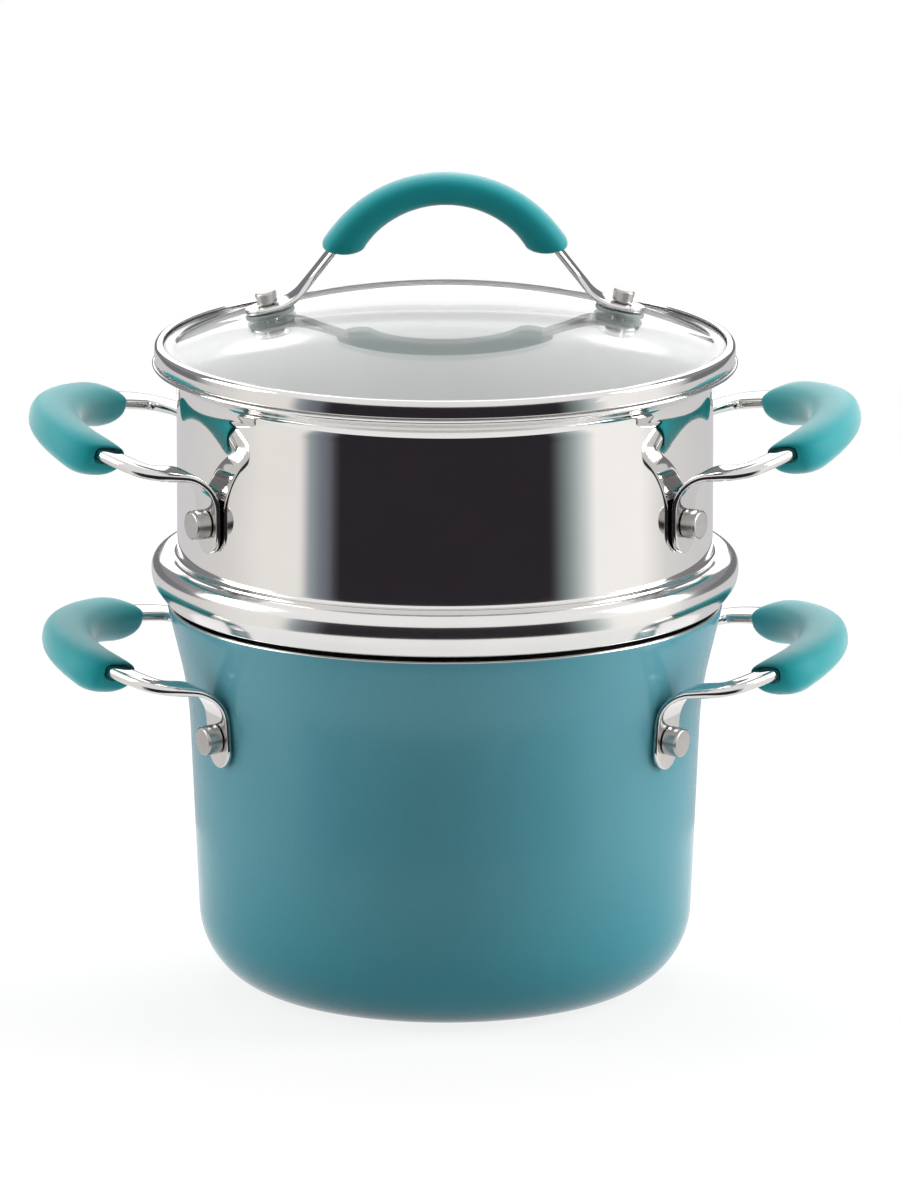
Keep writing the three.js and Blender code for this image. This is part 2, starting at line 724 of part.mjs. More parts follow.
// A washer along +Z from zero up.
function washer(outer, inner, thickness) {
  const outline = [
    new THREE.Vector2(inner, 0),
    new THREE.Vector2(outer, 0),
    new THREE.Vector2(outer, thickness),
    new THREE.Vector2(inner, thickness),
    new THREE.Vector2(inner, 0),
  ];
  return spin(outline, smallSteps);
}

const lidRivet = {
  radius: lidRivetRadius,
  headRadius: lidRivetHeadRadius,
  headHeight: lidRivetHeadHeight,
  tailRadius: lidRivetTailRadius,
  tailHeight: lidRivetTailHeight,
};
const underGlass = -glassThickness - chordError - hollowGap - gasketThickness;
const lidStack = strapTop - underGlass;
const gasket = washer(gasketRadius, lidRivetRadius + shankGap, gasketThickness);
const lidPieces = [
  ['lid_rivet', rivet(lidRivet, lidStack), steel, strapTop],
  ['lid_gasket_upper', gasket, clearRubber, seatGap],
  ['lid_gasket_lower', gasket, clearRubber, underGlass],
];
for (const { point, axis, name } of lidSeats) {
  for (const [piece, geometry, material, height] of lidPieces) {
    const mesh = place(geometry, material(), `${piece}_${name}`, lid);
    mesh.position.copy(point).addScaledVector(axis, height);
    mesh.quaternion.setFromUnitVectors(up, axis);
  }
}

export default set;
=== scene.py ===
# Looks for a stacked steaming set: an enamelled pot, a polished steamer insert and a glass lid.
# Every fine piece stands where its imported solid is. Sizes are in millimetres, and meshes are
# written in metres. The stage, the lamps and the camera are placed in metres.

import math

import bmesh
import bpy
from mathutils import Matrix, Vector


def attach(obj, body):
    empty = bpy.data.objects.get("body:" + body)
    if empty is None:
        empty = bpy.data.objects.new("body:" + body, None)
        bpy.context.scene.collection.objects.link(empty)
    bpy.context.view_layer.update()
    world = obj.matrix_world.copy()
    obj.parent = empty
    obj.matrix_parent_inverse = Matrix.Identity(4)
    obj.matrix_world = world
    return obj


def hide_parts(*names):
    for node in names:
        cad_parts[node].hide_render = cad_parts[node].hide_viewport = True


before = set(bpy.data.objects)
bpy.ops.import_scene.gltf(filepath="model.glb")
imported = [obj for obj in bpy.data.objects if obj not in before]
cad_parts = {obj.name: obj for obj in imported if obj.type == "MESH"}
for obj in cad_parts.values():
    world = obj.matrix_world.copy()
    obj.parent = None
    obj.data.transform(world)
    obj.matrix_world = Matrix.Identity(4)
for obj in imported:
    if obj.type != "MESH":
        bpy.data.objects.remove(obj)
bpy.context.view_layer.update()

MM = 0.001
TINY = 1e-4
UP = Vector((0, 0, 1))

# Fits
SEAT_GAP = 0.35
HOLLOW_GAP = 0.6
SHANK_GAP = 0.3
BORE_GAP = 0.35

# Fineness
SPIN_STEPS = 192
SMALL_STEPS = 48
SECTION_STEPS = 32
GRIP_STEPS = 48
GRIP_END_STEPS = 14
GRIP_DISH_STEPS = 8
HOLE_STEPS = 32
CAP_STEPS = 8
TURN_STEP = math.radians(5)
LEG_STEP = 4.0
POT_TURN_STEP = math.radians(2.5)
GLASS_TURN_STEP = math.radians(1)
HANDLE_TURN_STEP = math.radians(4)
HANDLE_LEG_STEP = 1.2
RIVET_TURN_STEP = math.radians(10)
WASHER_TURN_STEP = math.radians(15)
SMALL_LEG_STEP = 2.0
TIP_ANGLES = [math.radians(a) for a in (7, 14, 22, 30, 39, 48, 57, 66, 75, 83, 90)]
HOLD = 0.3
SHARP = math.radians(40)

# Pot
POT_HEIGHT = 133.0
POT_RIM_RADIUS = 94.5
POT_WAIST_RADIUS = 87.2
POT_FLARE_HEIGHT = 30.0
POT_WAIST_BEND = 120.0
POT_FOOT_RADIUS = 82.5
POT_CORNER_BEND = 29.0
POT_WALL = 2.0

# Steamer insert
STEAMER_HEIGHT = 83.0
STEAMER_RADIUS = 91.0
STEAMER_SHEET = 1.2
LIP_FLARE = 8.5
LIP_RISE = 4.0
LIP_BEND = 9.0
COVE_HEIGHT = 17.4
COVE_BEND = 1.3
BEAD_RADIUS = 99.75
BEAD_TOP = 18.9
BEAD_TOP_BEND = 5.0
BEAD_SIDE = 8.4
BEAD_SIDE_BEND = 10.5
SEAT_OVERHANG = 0.6
SEAT_LIFT = 1.6
SEAT_BEND = 2.4
SPUN_FADE = 5.0
SPUN_ROUGHNESS = 0.1
BASKET_DEPTH = 25.0
BASKET_CLEARANCE = 4.0
BASKET_BEND = 1.8
FLOOR_LEDGE = 3.0
FLOOR_THICKNESS = 1.2
FLOOR_EDGE = 0.2
HOLE_RADIUS = 3.2
HOLE_PITCH = 17.0
HOLE_RINGS = 4
HOLES_PER_RING = 5

# Side handles
BAR_WIDTH = 10.0
BAR_THICKNESS = 4.2
BAR_SQUARENESS = 3.4
STRAP_WIDTH = 14.0
STRAP_THICKNESS = 2.0
STRAP_SQUARENESS = 7.0
STRAP_FLAT = 19.0
STRAP_TAPER = 32.0
FOOT_SPREAD = 46.0
FOOT_LENGTH = 30.0
FOOT_BEND = 15.0
ARM_FALL = 3.0
RIVET_INSET = 10.2
SHOULDER_BEND = 18.0
SHOULDER_LEAD = 5.5
LOOP_RADIUS = 68.8
LOOP_SPREAD = math.radians(52)
LOOP_REACH = 39.0
LOOP_TILT = math.radians(14)
LOOP_STEP = math.radians(1.5)
POT_ROD_DROP = 17.4
STEAMER_ROD_DROP = 25.8
GRIP_SPREAD = math.radians(41.2)
GRIP_WIDTH = 17.6
GRIP_HEIGHT = 12.8
GRIP_OUT = 2.2
GRIP_DROP = 1.2
GRIP_END = 11.5
GRIP_SLANT = 0.12
GRIP_SAG = 2.4
GRIP_LIP = 0.6
GRIP_DISH = 1.2
GRIP_FADE = 18.0
GRIP_SQUARENESS = 2.4

# Rivets of the side handles
RIVET_RADIUS = 2.5
RIVET_HEAD_RADIUS = 5.0
RIVET_HEAD_HEIGHT = 5.5
RIVET_HEAD_BEND = 0.9
RIVET_TAIL_RADIUS = 5.0
RIVET_TAIL_HEIGHT = 1.8
TAIL_BEND = 0.5
SHANK_BEND = 0.2
HEAD_FOOT_BEND = 0.3

# Lid
BAND_SET_IN = 0.9
BAND_HEIGHT = 6.7
BAND_SHEET = 1.0
BAND_BEND = 1.6
BAND_BARREL = 0.22
BAND_BARREL_BEND = 14.0
BAND_TOP_LAND = 3.0
BAND_FOOT_LAND = 7.0
GLASS_THICKNESS = 4.0
GLASS_FLANGE = 6.0
GLASS_FLANGE_BEND = 10.0
DOME_RISE = 17.2
DOME_LIFT = 0.35

# Lid handle
LID_RIVET_REACH = 59.0
LID_RIVET_INSET = 8.0
LID_FOOT_BEND = 14.0
LID_STRAP_TAPER = 12.0
LID_BAR_WIDTH = 10.4
LID_BAR_THICKNESS = 2.8
LID_STRAP_WIDTH = 15.0
LID_LOOP_RADIUS = 43.4
LID_LOOP_SPREAD = math.radians(52)
LID_LOOP_TOP = 60.0
LID_GRIP_SPREAD = math.radians(60)
LID_GRIP_WIDTH = 10.8
LID_GRIP_FLARE = 2.4
LID_GRIP_DEPTH = 15.0
LID_GRIP_IN = 0.5
LID_GRIP_END = 4.5
LID_GRIP_SLANT = -0.45
GASKET_RADIUS = 8.5
GASKET_THICKNESS = 1.5
GASKET_EDGE = 0.4
LID_RIVET_RADIUS = 2.2
LID_RIVET_HEAD_RADIUS = 3.6
LID_RIVET_HEAD_HEIGHT = 4.0
LID_RIVET_HEAD_BEND = 0.8
LID_RIVET_TAIL_RADIUS = 5.5
LID_RIVET_TAIL_HEIGHT = 2.0

# How far each loose piece is turned from square in the photographed stack
STEAMER_TURN = math.radians(1.4)
LID_TURN = math.radians(2.7)


def lerp(a, b, t):
    return a + (b - a) * t


def smoothstep(x, low, high):
    t = min(1.0, max(0.0, (x - low) / (high - low)))
    return t * t * (3 - 2 * t)


# Materials


class Shader:
    """A node material with a principled shader and small helpers for its textures."""

    def __init__(self, name):
        self.material = bpy.data.materials.new(name)
        self.material.use_nodes = True
        self.tree = self.material.node_tree
        self.shader = self.tree.nodes["Principled BSDF"]
        self.coords = self.add("ShaderNodeTexCoord").outputs["Object"]

    def add(self, kind, **settings):
        node = self.tree.nodes.new(kind)
        for key, value in settings.items():
            setattr(node, key, value)
        return node

    def link(self, source, target):
        self.tree.links.new(source, target)

    def set(self, **values):
        for key, value in values.items():
            self.shader.inputs[key.replace("_", " ")].default_value = value

    def noise(self, scale, detail=3.0, stretch=(1, 1, 1)):
        mapping = self.add("ShaderNodeMapping")
        mapping.inputs["Scale"].default_value = stretch
        self.link(self.coords, mapping.inputs["Vector"])
        node = self.add("ShaderNodeTexNoise")
        node.inputs["Scale"].default_value = scale
        node.inputs["Detail"].default_value = detail
        self.link(mapping.outputs["Vector"], node.inputs["Vector"])
        return node.outputs["Fac"]

    def height(self, low, high):
        """Zero at the low height and one at the high height, in metres."""
        split = self.add("ShaderNodeSeparateXYZ")
        self.link(self.coords, split.inputs["Vector"])
        node = self.add("ShaderNodeMapRange")
        node.inputs["From Min"].default_value = low
        node.inputs["From Max"].default_value = high
        self.link(split.outputs["Z"], node.inputs["Value"])
        return node.outputs["Result"]

    def colours(self, fac, stops):
        node = self.add("ShaderNodeValToRGB")
        ramp = node.color_ramp
        while len(ramp.elements) < len(stops):
            ramp.elements.new(0.5)
        for element, (place, colour) in zip(ramp.elements, stops):
            element.position = place
            element.color = (*colour, 1)
        self.link(fac, node.inputs["Fac"])
        return node.outputs["Color"]

    def multiply(self, a, b):
        node = self.add("ShaderNodeMix", data_type="RGBA", blend_type="MULTIPLY")
        node.inputs["Factor"].default_value = 1.0
        self.link(a, node.inputs["A"])
        self.link(b, node.inputs["B"])
        return node.outputs["Result"]

    def span(self, fac, low, high):
        node = self.add("ShaderNodeMapRange")
        node.inputs["To Min"].default_value = low
        node.inputs["To Max"].default_value = high
        self.link(fac, node.inputs["Value"])
        return node.outputs["Result"]

    def bump(self, fac, strength, depth):
        node = self.add("ShaderNodeBump")
        node.inputs["Strength"].default_value = strength
        node.inputs["Distance"].default_value = depth
        self.link(fac, node.inputs["Height"])
        self.link(node.outputs["Normal"], self.shader.inputs["Normal"])


def steel(name, light, dark, rough_low, rough_high, lines, metallic=1.0, spun=None):
    """Polished steel with faint polishing lines, stretched as the piece was turned or drawn.

    Where spun is given, the surface is rougher by its third value below its first height, and the
    roughness fades out up to its second.
    """
    s = Shader(name)
    s.set(Metallic=metallic)
    cloud = s.noise(45.0, 4.0)
    s.link(s.colours(cloud, [(0.3, dark), (0.7, light)]), s.shader.inputs["Base Color"])
    fine = s.noise(60.0, 6.0, lines)
    rough = s.span(fine, rough_low, rough_high)
    if spun:
        full, none, more = spun
        extra = s.span(s.height(full * MM, none * MM), more, 0.0)
        both = s.add("ShaderNodeMath", operation="ADD")
        s.link(rough, both.inputs[0])
        s.link(extra, both.inputs[1])
        rough = both.outputs[0]
    s.link(rough, s.shader.inputs["Roughness"])
    s.bump(fine, 0.04, 0.00002)
    return s.material


def enamel():
    """Glossy vitreous enamel whose colour darkens toward the base as painted shade."""
    s = Shader("teal_enamel")
    s.set(IOR=1.5, Specular_IOR_Level=0.28)
    speck = s.noise(900.0, 2.0)
    cloud = s.noise(14.0, 3.0)
    # Painted shade: the height ramp darkens the enamel colour toward the base.
    teal_with_painted_base_shade = s.colours(s.height(0.0, POT_HEIGHT * MM), [
        (0.0, (0.01, 0.18, 0.225)), (0.22, (0.036, 0.21, 0.255)), (0.45, (0.062, 0.23, 0.277)),
        (1.0, (0.08, 0.252, 0.302)),
    ])
    tint = s.colours(speck, [(0.25, (0.93, 0.95, 0.95)), (0.75, (1.0, 1.0, 1.0))])
    wide = s.colours(cloud, [(0.3, (0.96, 0.98, 0.98)), (0.7, (1.0, 1.0, 1.0))])
    colour = s.multiply(s.multiply(teal_with_painted_base_shade, tint), wide)
    s.link(colour, s.shader.inputs["Base Color"])
    s.link(s.span(cloud, 0.15, 0.21), s.shader.inputs["Roughness"])
    s.bump(s.noise(220.0, 2.0), 0.05, 0.00012)
    return s.material


def coating():
    """Dark cooking surface with a fine mineral fleck."""
    s = Shader("dark_coating")
    s.set(IOR=1.4)
    fleck = s.noise(2400.0, 2.0)
    stops = [(0.35, (0.035, 0.037, 0.04)), (0.62, (0.06, 0.063, 0.068)), (0.72, (0.2, 0.21, 0.22))]
    s.link(s.colours(fleck, stops), s.shader.inputs["Base Color"])
    s.link(s.span(s.noise(60.0), 0.32, 0.45), s.shader.inputs["Roughness"])
    s.bump(fleck, 0.12, 0.00008)
    return s.material


def rubber(name, deep, light):
    """Matt moulded silicone with a fine mould texture."""
    s = Shader(name)
    s.set(IOR=1.42, Specular_IOR_Level=0.12, Sheen_Weight=0.6, Sheen_Roughness=0.4)
    cloud = s.noise(35.0, 4.0)
    s.link(s.colours(cloud, [(0.3, deep), (0.7, light)]), s.shader.inputs["Base Color"])
    grain = s.noise(1600.0, 2.0)
    s.link(s.span(grain, 0.42, 0.56), s.shader.inputs["Roughness"])
    s.bump(grain, 0.10, 0.00006)
    return s.material


def gasket():
    """Milky translucent silicone."""
    s = Shader("milky_silicone")
    s.set(IOR=1.42, Transmission_Weight=0.5)
    cloud = s.noise(160.0, 3.0)
    stops = [(0.3, (0.46, 0.54, 0.52)), (0.7, (0.54, 0.61, 0.59))]
    s.link(s.colours(cloud, stops), s.shader.inputs["Base Color"])
    s.link(s.span(cloud, 0.3, 0.42), s.shader.inputs["Roughness"])
    s.bump(s.noise(1500.0, 2.0), 0.06, 0.00005)
    return s.material


def glass():
    """Clear tempered glass with a faint green body colour and a slight haze."""
    s = Shader("clear_glass")
    s.set(IOR=1.5, Transmission_Weight=0.96)
    cloud = s.noise(9.0, 2.0)
    stops = [(0.3, (0.955, 0.975, 0.968)), (0.7, (0.968, 0.984, 0.978))]
    s.link(s.colours(cloud, stops), s.shader.inputs["Base Color"])
    s.link(s.span(s.noise(120.0, 3.0), 0.0, 0.012), s.shader.inputs["Roughness"])
    s.bump(s.noise(26.0, 1.0), 0.05, 0.0002)
    return s.material


TURNED = (0.3, 0.3, 40.0)
DRAWN = (8.0, 8.0, 8.0)
ENAMEL = enamel()
COATING = coating()
RIM_STEEL = steel("ground_rim_steel", (0.84, 0.83, 0.82), (0.76, 0.75, 0.74), 0.16, 0.28, TURNED)
SHELL_STEEL = steel(
    "polished_shell_steel", (0.79, 0.775, 0.76), (0.765, 0.75, 0.735), 0.025, 0.05, TURNED,
    spun=(POT_HEIGHT + COVE_HEIGHT, POT_HEIGHT + COVE_HEIGHT + SPUN_FADE, SPUN_ROUGHNESS),
)
SATIN_STEEL = steel(
    "satin_inside_steel", (0.91, 0.91, 0.905), (0.88, 0.88, 0.875), 0.3, 0.4, TURNED, metallic=0.5,
)
RIVET_STEEL = steel("satin_rivet_steel", (0.52, 0.51, 0.5), (0.4, 0.39, 0.38), 0.26, 0.38, DRAWN)
BAND_STEEL = steel("rolled_band_steel", (0.76, 0.745, 0.73), (0.72, 0.705, 0.69), 0.04, 0.08, TURNED)
# Painted shade: the rod steel's colour is set darker than the shell steel's, for the dark surroundings
# that its round sides reflect.
SHADED_ROD_STEEL = steel("polished_rod_steel", (0.72, 0.71, 0.695), (0.66, 0.65, 0.635), 0.04, 0.09, DRAWN)
GRIP = rubber("aqua_silicone", (0.004, 0.225, 0.245), (0.008, 0.255, 0.275))
GASKET = gasket()
GLASS = glass()


# Profiles and lines


def corner(radius, height, bend=0.0):
    return Vector((radius, 0, height)), bend


def bent_line(corners, turn_step=TURN_STEP, leg_step=LEG_STEP):
    """Points and directions of a line from corner to corner with rounded bends.

    Two bends that share a short leg are both limited to what the leg can hold.
    """
    places = [Vector(at) for at, bend in corners]
    bends = [bend for at, bend in corners]
    legs = [b - a for a, b in zip(places, places[1:])]
    lengths = [leg.length for leg in legs]
    legs = [leg.normalized() for leg in legs]
    last = len(places) - 1
    turns = [legs[i - 1].angle(legs[i]) if 0 < i < last else 0.0 for i in range(last + 1)]
    cuts = [bend * math.tan(turn / 2) for bend, turn in zip(bends, turns)]
    room = [min(1.0, lengths[i] / max(cuts[i] + cuts[i + 1], TINY)) for i in range(last)]
    cuts = [cut * min([1.0, *room[max(0, i - 1):i + 1]]) for i, cut in enumerate(cuts)]
    line = []

    def push(point, along):
        if not line or (line[-1][0] - point).length > TINY:
            line.append((point, along))

    for i, at in enumerate(places):
        into = legs[max(0, i - 1)]
        out = legs[min(i, last - 1)]
        if cuts[i] < TINY:
            push(at, (into + out).normalized())
        else:
            radius = cuts[i] / math.tan(turns[i] / 2)
            start = at - into * cuts[i]
            side = (out - into * into.dot(out)).normalized()
            steps = max(3, math.ceil(turns[i] / turn_step))
            for k in range(steps + 1):
                angle = turns[i] * k / steps
                sine, cosine = math.sin(angle), math.cos(angle)
                point = start + into * (radius * sine) + side * (radius * (1 - cosine))
                push(point, into * cosine + side * sine)
        if i < last:
            first = line[-1][0]
            end = places[i + 1] - out * cuts[i + 1]
            run = (end - first).length
            if run > 4 * HOLD:
                inner = run - 2 * HOLD
                count = max(1, math.ceil(inner / leg_step))
                for k in range(count + 1):
                    push(first + out * (HOLD + inner * k / count), out)
    return line


def offset(line, distance):
    """The line moved to its left in the plane of radius and height."""
    return [(p + Vector((-d.z, 0, d.x)) * distance, d) for p, d in line]


def cap(start, end, along):
    """Points of a half-round edge from one face of a sheet to the other."""
    middle = (start + end) / 2
    arm = start - middle
    turns = [math.pi * k / CAP_STEPS for k in range(1, CAP_STEPS)]
    return [middle + arm * math.cos(t) + along * (arm.length * math.sin(t)) for t in turns]


def trimmed(line, thickness, first, last):
    """The line without half a thickness at each end that is to be rounded."""
    kept = list(line)
    half = thickness / 2
    if last:
        p, d = kept[-1]
        kept = [q for q in kept if (p - q[0]).length > half + TINY]
        kept.append((p - d * half, d))
    if first:
        p, d = kept[0]
        kept = [q for q in kept if (q[0] - p).length > half + TINY]
        kept.insert(0, (p + d * half, d))
    return kept


def radius_at(line, height):
    """The line's radius where it rises past a height."""
    for (a, _), (b, _) in zip(line, line[1:]):
        if b.z >= height > a.z:
            return lerp(a.x, b.x, (height - a.z) / (b.z - a.z))
    raise ValueError(height)


# Meshes


def make(name, verts, faces, materials, index=None):
    """A smooth closed mesh object in metres, with its creases kept sharp."""
    mesh = bpy.data.meshes.new(name)
    mesh.from_pydata([tuple(Vector(v) * MM) for v in verts], [], faces)
    for material in materials:
        mesh.materials.append(material)
    if index:
        mesh.polygons.foreach_set("material_index", index)
    work = bmesh.new()
    work.from_mesh(mesh)
    bmesh.ops.recalc_face_normals(work, faces=work.faces)
    work.to_mesh(mesh)
    work.free()
    soften(mesh)
    piece = bpy.data.objects.new(name, mesh)
    bpy.context.scene.collection.objects.link(piece)
    return piece


def soften(mesh):
    """Smooth shading with its creases kept sharp."""
    mesh.polygons.foreach_set("use_smooth", [True] * len(mesh.polygons))
    mesh.set_sharp_from_angle(angle=SHARP)


def lathe(name, outline, materials, steps=SPIN_STEPS, closed=True, index=None, place=None):
    """A closed outline of radius and height turned round the axis, then placed by a matrix."""
    verts = []
    rings = []
    for point in outline:
        count = 1 if point.x < TINY else steps
        rings.append([len(verts) + k for k in range(count)])
        for k in range(count):
            angle = 2 * math.pi * k / steps
            verts.append(Vector((point.x * math.cos(angle), point.x * math.sin(angle), point.z)))
    faces = []
    slots = []
    pairs = list(zip(range(len(rings)), range(1, len(rings))))
    if closed:
        pairs.append((len(rings) - 1, 0))
    for a, b in pairs:
        low, high = rings[a], rings[b]
        for k in range(steps):
            n = (k + 1) % steps
            if len(low) == 1 and len(high) == 1:
                break
            if len(low) == 1:
                faces.append((low[0], high[n], high[k]))
            elif len(high) == 1:
                faces.append((low[k], low[n], high[0]))
            else:
                faces.append((low[k], low[n], high[n], high[k]))
            slots.append(index[a] if index else 0)
    if place:
        verts = [place @ v for v in verts]
    return make(name, verts, faces, materials, slots)


def loft(name, rings, materials, closed=False):
    """A skin over rings of equal counts, capped at both ends or closed on itself."""
    count = len(rings[0])
    verts = [v for ring in rings for v in ring]
    faces = []
    total = len(rings)
    for r in range(total if closed else total - 1):
        for k in range(count):
            n = (k + 1) % count
            s = (r + 1) % total
            faces.append((r * count + k, r * count + n, s * count + n, s * count + k))
    if not closed:
        faces.append(tuple(range(count)))
        faces.append(tuple((total - 1) * count + k for k in range(count)))
    return make(name, verts, faces, materials)


def section(centre, wide, thick, half_width, half_thickness, squareness, steps):
    """A ring round a centre: an ellipse at squareness 2, a slab with rounded edges above."""
    ring = []
    for k in range(steps):
        angle = 2 * math.pi * k / steps
        c, s = math.cos(angle), math.sin(angle)
        x = math.copysign(abs(c) ** (2 / squareness), c) * half_width
        y = math.copysign(abs(s) ** (2 / squareness), s) * half_thickness
        ring.append(centre + wide * x + thick * y)
    return ring


def drilled(piece, holes, radius, depth):
    """Cuts round holes, each given by a point and an axis in millimetres."""
    cutters = []
    for point, axis in holes:
        bore = bmesh.new()
        bmesh.ops.create_cone(
            bore, cap_ends=True, segments=SMALL_STEPS, radius1=radius * MM, radius2=radius * MM,
            depth=2 * depth * MM,
        )
        turn = axis.to_track_quat("Z", "Y").to_matrix().to_4x4()
        bore.transform(Matrix.Translation(point * MM) @ turn)
        mesh = bpy.data.meshes.new("bore")
        bore.to_mesh(mesh)
        bore.free()
        cutter = bpy.data.objects.new("bore", mesh)
        bpy.context.scene.collection.objects.link(cutter)
        cutters.append(cutter)
        change = piece.modifiers.new("bore", "BOOLEAN")
        change.operation = "DIFFERENCE"
        change.solver = "EXACT"
        change.object = cutter
    bpy.context.view_layer.update()
    done = bpy.data.meshes.new_from_object(piece.evaluated_get(bpy.context.evaluated_depsgraph_get()))
    piece.modifiers.clear()
    old = piece.data
    piece.data = done
    done.name = old.name
    bpy.data.meshes.remove(old)
    for cutter in cutters:
        mesh = cutter.data
        bpy.data.objects.remove(cutter)
        bpy.data.meshes.remove(mesh)
    soften(done)


# Handles


class Loop:
    """The arc of a handle in the plane of outward and across, with zero at its outermost point."""

    def __init__(self, centre, outward, across, radius, spread):
        self.centre = centre
        self.outward = outward
        self.across = across
        self.radius = radius
        self.spread = spread
        self.normal = outward.cross(across)

    def clamp(self, angle):
        return max(-self.spread, min(self.spread, angle))

    def out(self, angle):
        bend = self.clamp(angle)
        return self.outward * math.cos(bend) + self.across * math.sin(bend)

    def along(self, angle):
        bend = self.clamp(angle)
        return self.outward * math.sin(bend) - self.across * math.cos(bend)

    def point(self, angle):
        bend = self.clamp(angle)
        past = self.radius * (bend - angle)
        return self.centre + self.out(angle) * self.radius + self.along(angle) * past


def mirror(point, across):
    """The point on the other side of the plane through the axis."""
    return point - across * (2 * point.dot(across))


def handle_line(foot_corners, loop):
    """Half a handle's centre line, from the tip of its foot to the middle of its loop."""
    start = loop.point(loop.spread)
    line = bent_line([*foot_corners, (start, 0.0)], HANDLE_TURN_STEP, HANDLE_LEG_STEP)
    line[-1] = (start, loop.along(loop.spread))
    count = math.ceil(loop.spread / LOOP_STEP)
    for k in range(1, count + 1):
        angle = loop.spread * (1 - k / count)
        line.append((loop.point(angle), loop.along(angle)))
    return line


def tip_corners(tip, along, width):
    """Stations over a foot's round tip."""
    reach = [width / 2 * (1 - math.cos(angle)) for angle in TIP_ANGLES]
    return [(tip + along * r, 0.0) for r in reach]


def bent_rod(name, line, across, wide_at_foot, wide_on_arm, size, place):
    """A bent bar with two flattened, round-ended feet, mirrored about the middle of its loop."""
    tip_radius = size["width"] / 2
    run = tip_radius * (1 - math.cos(TIP_ANGLES[0]))
    rings = []
    first = line[0][1]
    for i, (point, along) in enumerate(line):
        if i:
            run += (point - line[i - 1][0]).length
        wide = wide_at_foot.lerp(wide_on_arm(along), 1 - max(0.0, along.dot(first)))
        wide = (wide - along * wide.dot(along)).normalized()
        tip = math.sqrt(max(0.0, tip_radius ** 2 - max(0.0, tip_radius - run) ** 2))
        bend = smoothstep(run, size["flat"], size["flat"] + size["taper"])
        half_width = lerp(tip, size["bar_width"] / 2, bend)
        half_thickness = lerp(STRAP_THICKNESS, size["bar_thickness"], bend) / 2
        squareness = lerp(STRAP_SQUARENESS, BAR_SQUARENESS, bend)
        rings.append(section(
            point, wide, along.cross(wide), half_width, half_thickness, squareness, SECTION_STEPS,
        ))
    rings += [[mirror(p, across) for p in ring] for ring in reversed(rings[:-1])]
    return loft(name, [[place @ p for p in ring] for ring in rings], [SHADED_ROD_STEEL])


def grip(name, loop, size, place):
    """A moulded grip round the outer arc of a rod, with round ends that are dished for the rod.

    Toward its ends the grip grows on its inner side by the size's flare and on its underside by the
    size's sag, and its end faces lean by the size's slant.
    """
    spread = size["spread"]
    bore_wide, bore_high = (b / 2 + BORE_GAP for b in size["bar"])
    mouth_wide = bore_wide + GRIP_LIP
    mouth_high = bore_high + GRIP_LIP

    def ring(angle, out, drop, half_width, half_height, squareness, slant):
        outward = loop.out(angle)
        middle = loop.point(angle) + outward * out - loop.normal * drop
        to_end = loop.along(angle) * math.copysign(1.0, -angle)
        points = section(middle, outward, loop.normal, half_width, half_height, squareness, GRIP_STEPS)
        return [p - to_end * (slant * (p - loop.point(angle)).dot(outward)) for p in points]

    def station(angle, full):
        slant = size["slant"] * (1 - smoothstep((spread - angle) * loop.radius, 0.0, GRIP_FADE))
        grown = size["flare"] / 2 * (angle / spread) ** 2
        sunk = size["sag"] / 2 * (angle / spread) ** 2
        return (
            angle, (size["out"] - grown) * full, (size["drop"] + sunk) * full,
            lerp(mouth_wide, size["width"] / 2 + grown, full),
            lerp(mouth_high, size["height"] / 2 + sunk, full),
            lerp(BAR_SQUARENESS, GRIP_SQUARENESS, full),
            slant,
        )

    half = []
    for k in range(GRIP_END_STEPS + 1):
        turn = math.pi / 2 * k / GRIP_END_STEPS
        half.append(station(spread - size["end"] * (1 - math.cos(turn)) / loop.radius, math.sin(turn)))
    rest = half[-1][0]
    count = math.ceil(rest / LOOP_STEP)
    half += [station(rest * (1 - k / count), 1.0) for k in range(1, count + 1)]
    skin = half + [(-s[0], *s[1:]) for s in reversed(half[:-1])]
    dish = []
    for k in range(1, GRIP_DISH_STEPS + 1):
        turn = math.pi / 2 * k / GRIP_DISH_STEPS
        angle = spread - GRIP_DISH * math.sin(turn) / loop.radius
        rim = GRIP_LIP * math.cos(turn)
        slant = size["slant"] * math.cos(turn)
        dish.append((angle, 0.0, 0.0, bore_wide + rim, bore_high + rim, BAR_SQUARENESS, slant))
    inner = dish[-1][0]
    count = math.ceil(2 * inner / LOOP_STEP)
    bore = [(-inner + 2 * inner * k / count, *dish[-1][1:]) for k in range(1, count)]
    back = [(-s[0], *s[1:]) for s in dish]
    rings = [ring(*s) for s in [*skin, *back, *bore, *reversed(dish)]]
    return loft(name, [[place @ p for p in r] for r in rings], [GRIP], closed=True)


def rivet(name, size, stack, place):
    """A rivet along +Z whose zero is the face under its head, with its tail behind the stack."""
    tail = -stack - HOLLOW_GAP
    top = SEAT_GAP + size["head_height"]
    line = bent_line([
        corner(0, tail - size["tail_height"]),
        corner(size["tail"], tail - size["tail_height"], TAIL_BEND),
        corner(size["tail"], tail, SHANK_BEND),
        corner(size["shank"], tail, SHANK_BEND),
        corner(size["shank"], SEAT_GAP, SHANK_BEND),
        corner(size["head"], SEAT_GAP, HEAD_FOOT_BEND),
        corner(size["head"], top, size["bend"]),
        corner(0, top),
    ], RIVET_TURN_STEP, SMALL_LEG_STEP)
    return lathe(name, [p for p, d in line], [RIVET_STEEL], SMALL_STEPS, closed=False, place=place)


def along_axis(point, axis):
    """A placement at a point with its +Z along an axis."""
    return Matrix.Translation(point) @ UP.rotation_difference(axis).to_matrix().to_4x4()


def show(piece, nodes, body):
    """Puts a piece in place of its nodes, given as words, on their body."""
    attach(piece, body)
    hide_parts(*nodes.split())


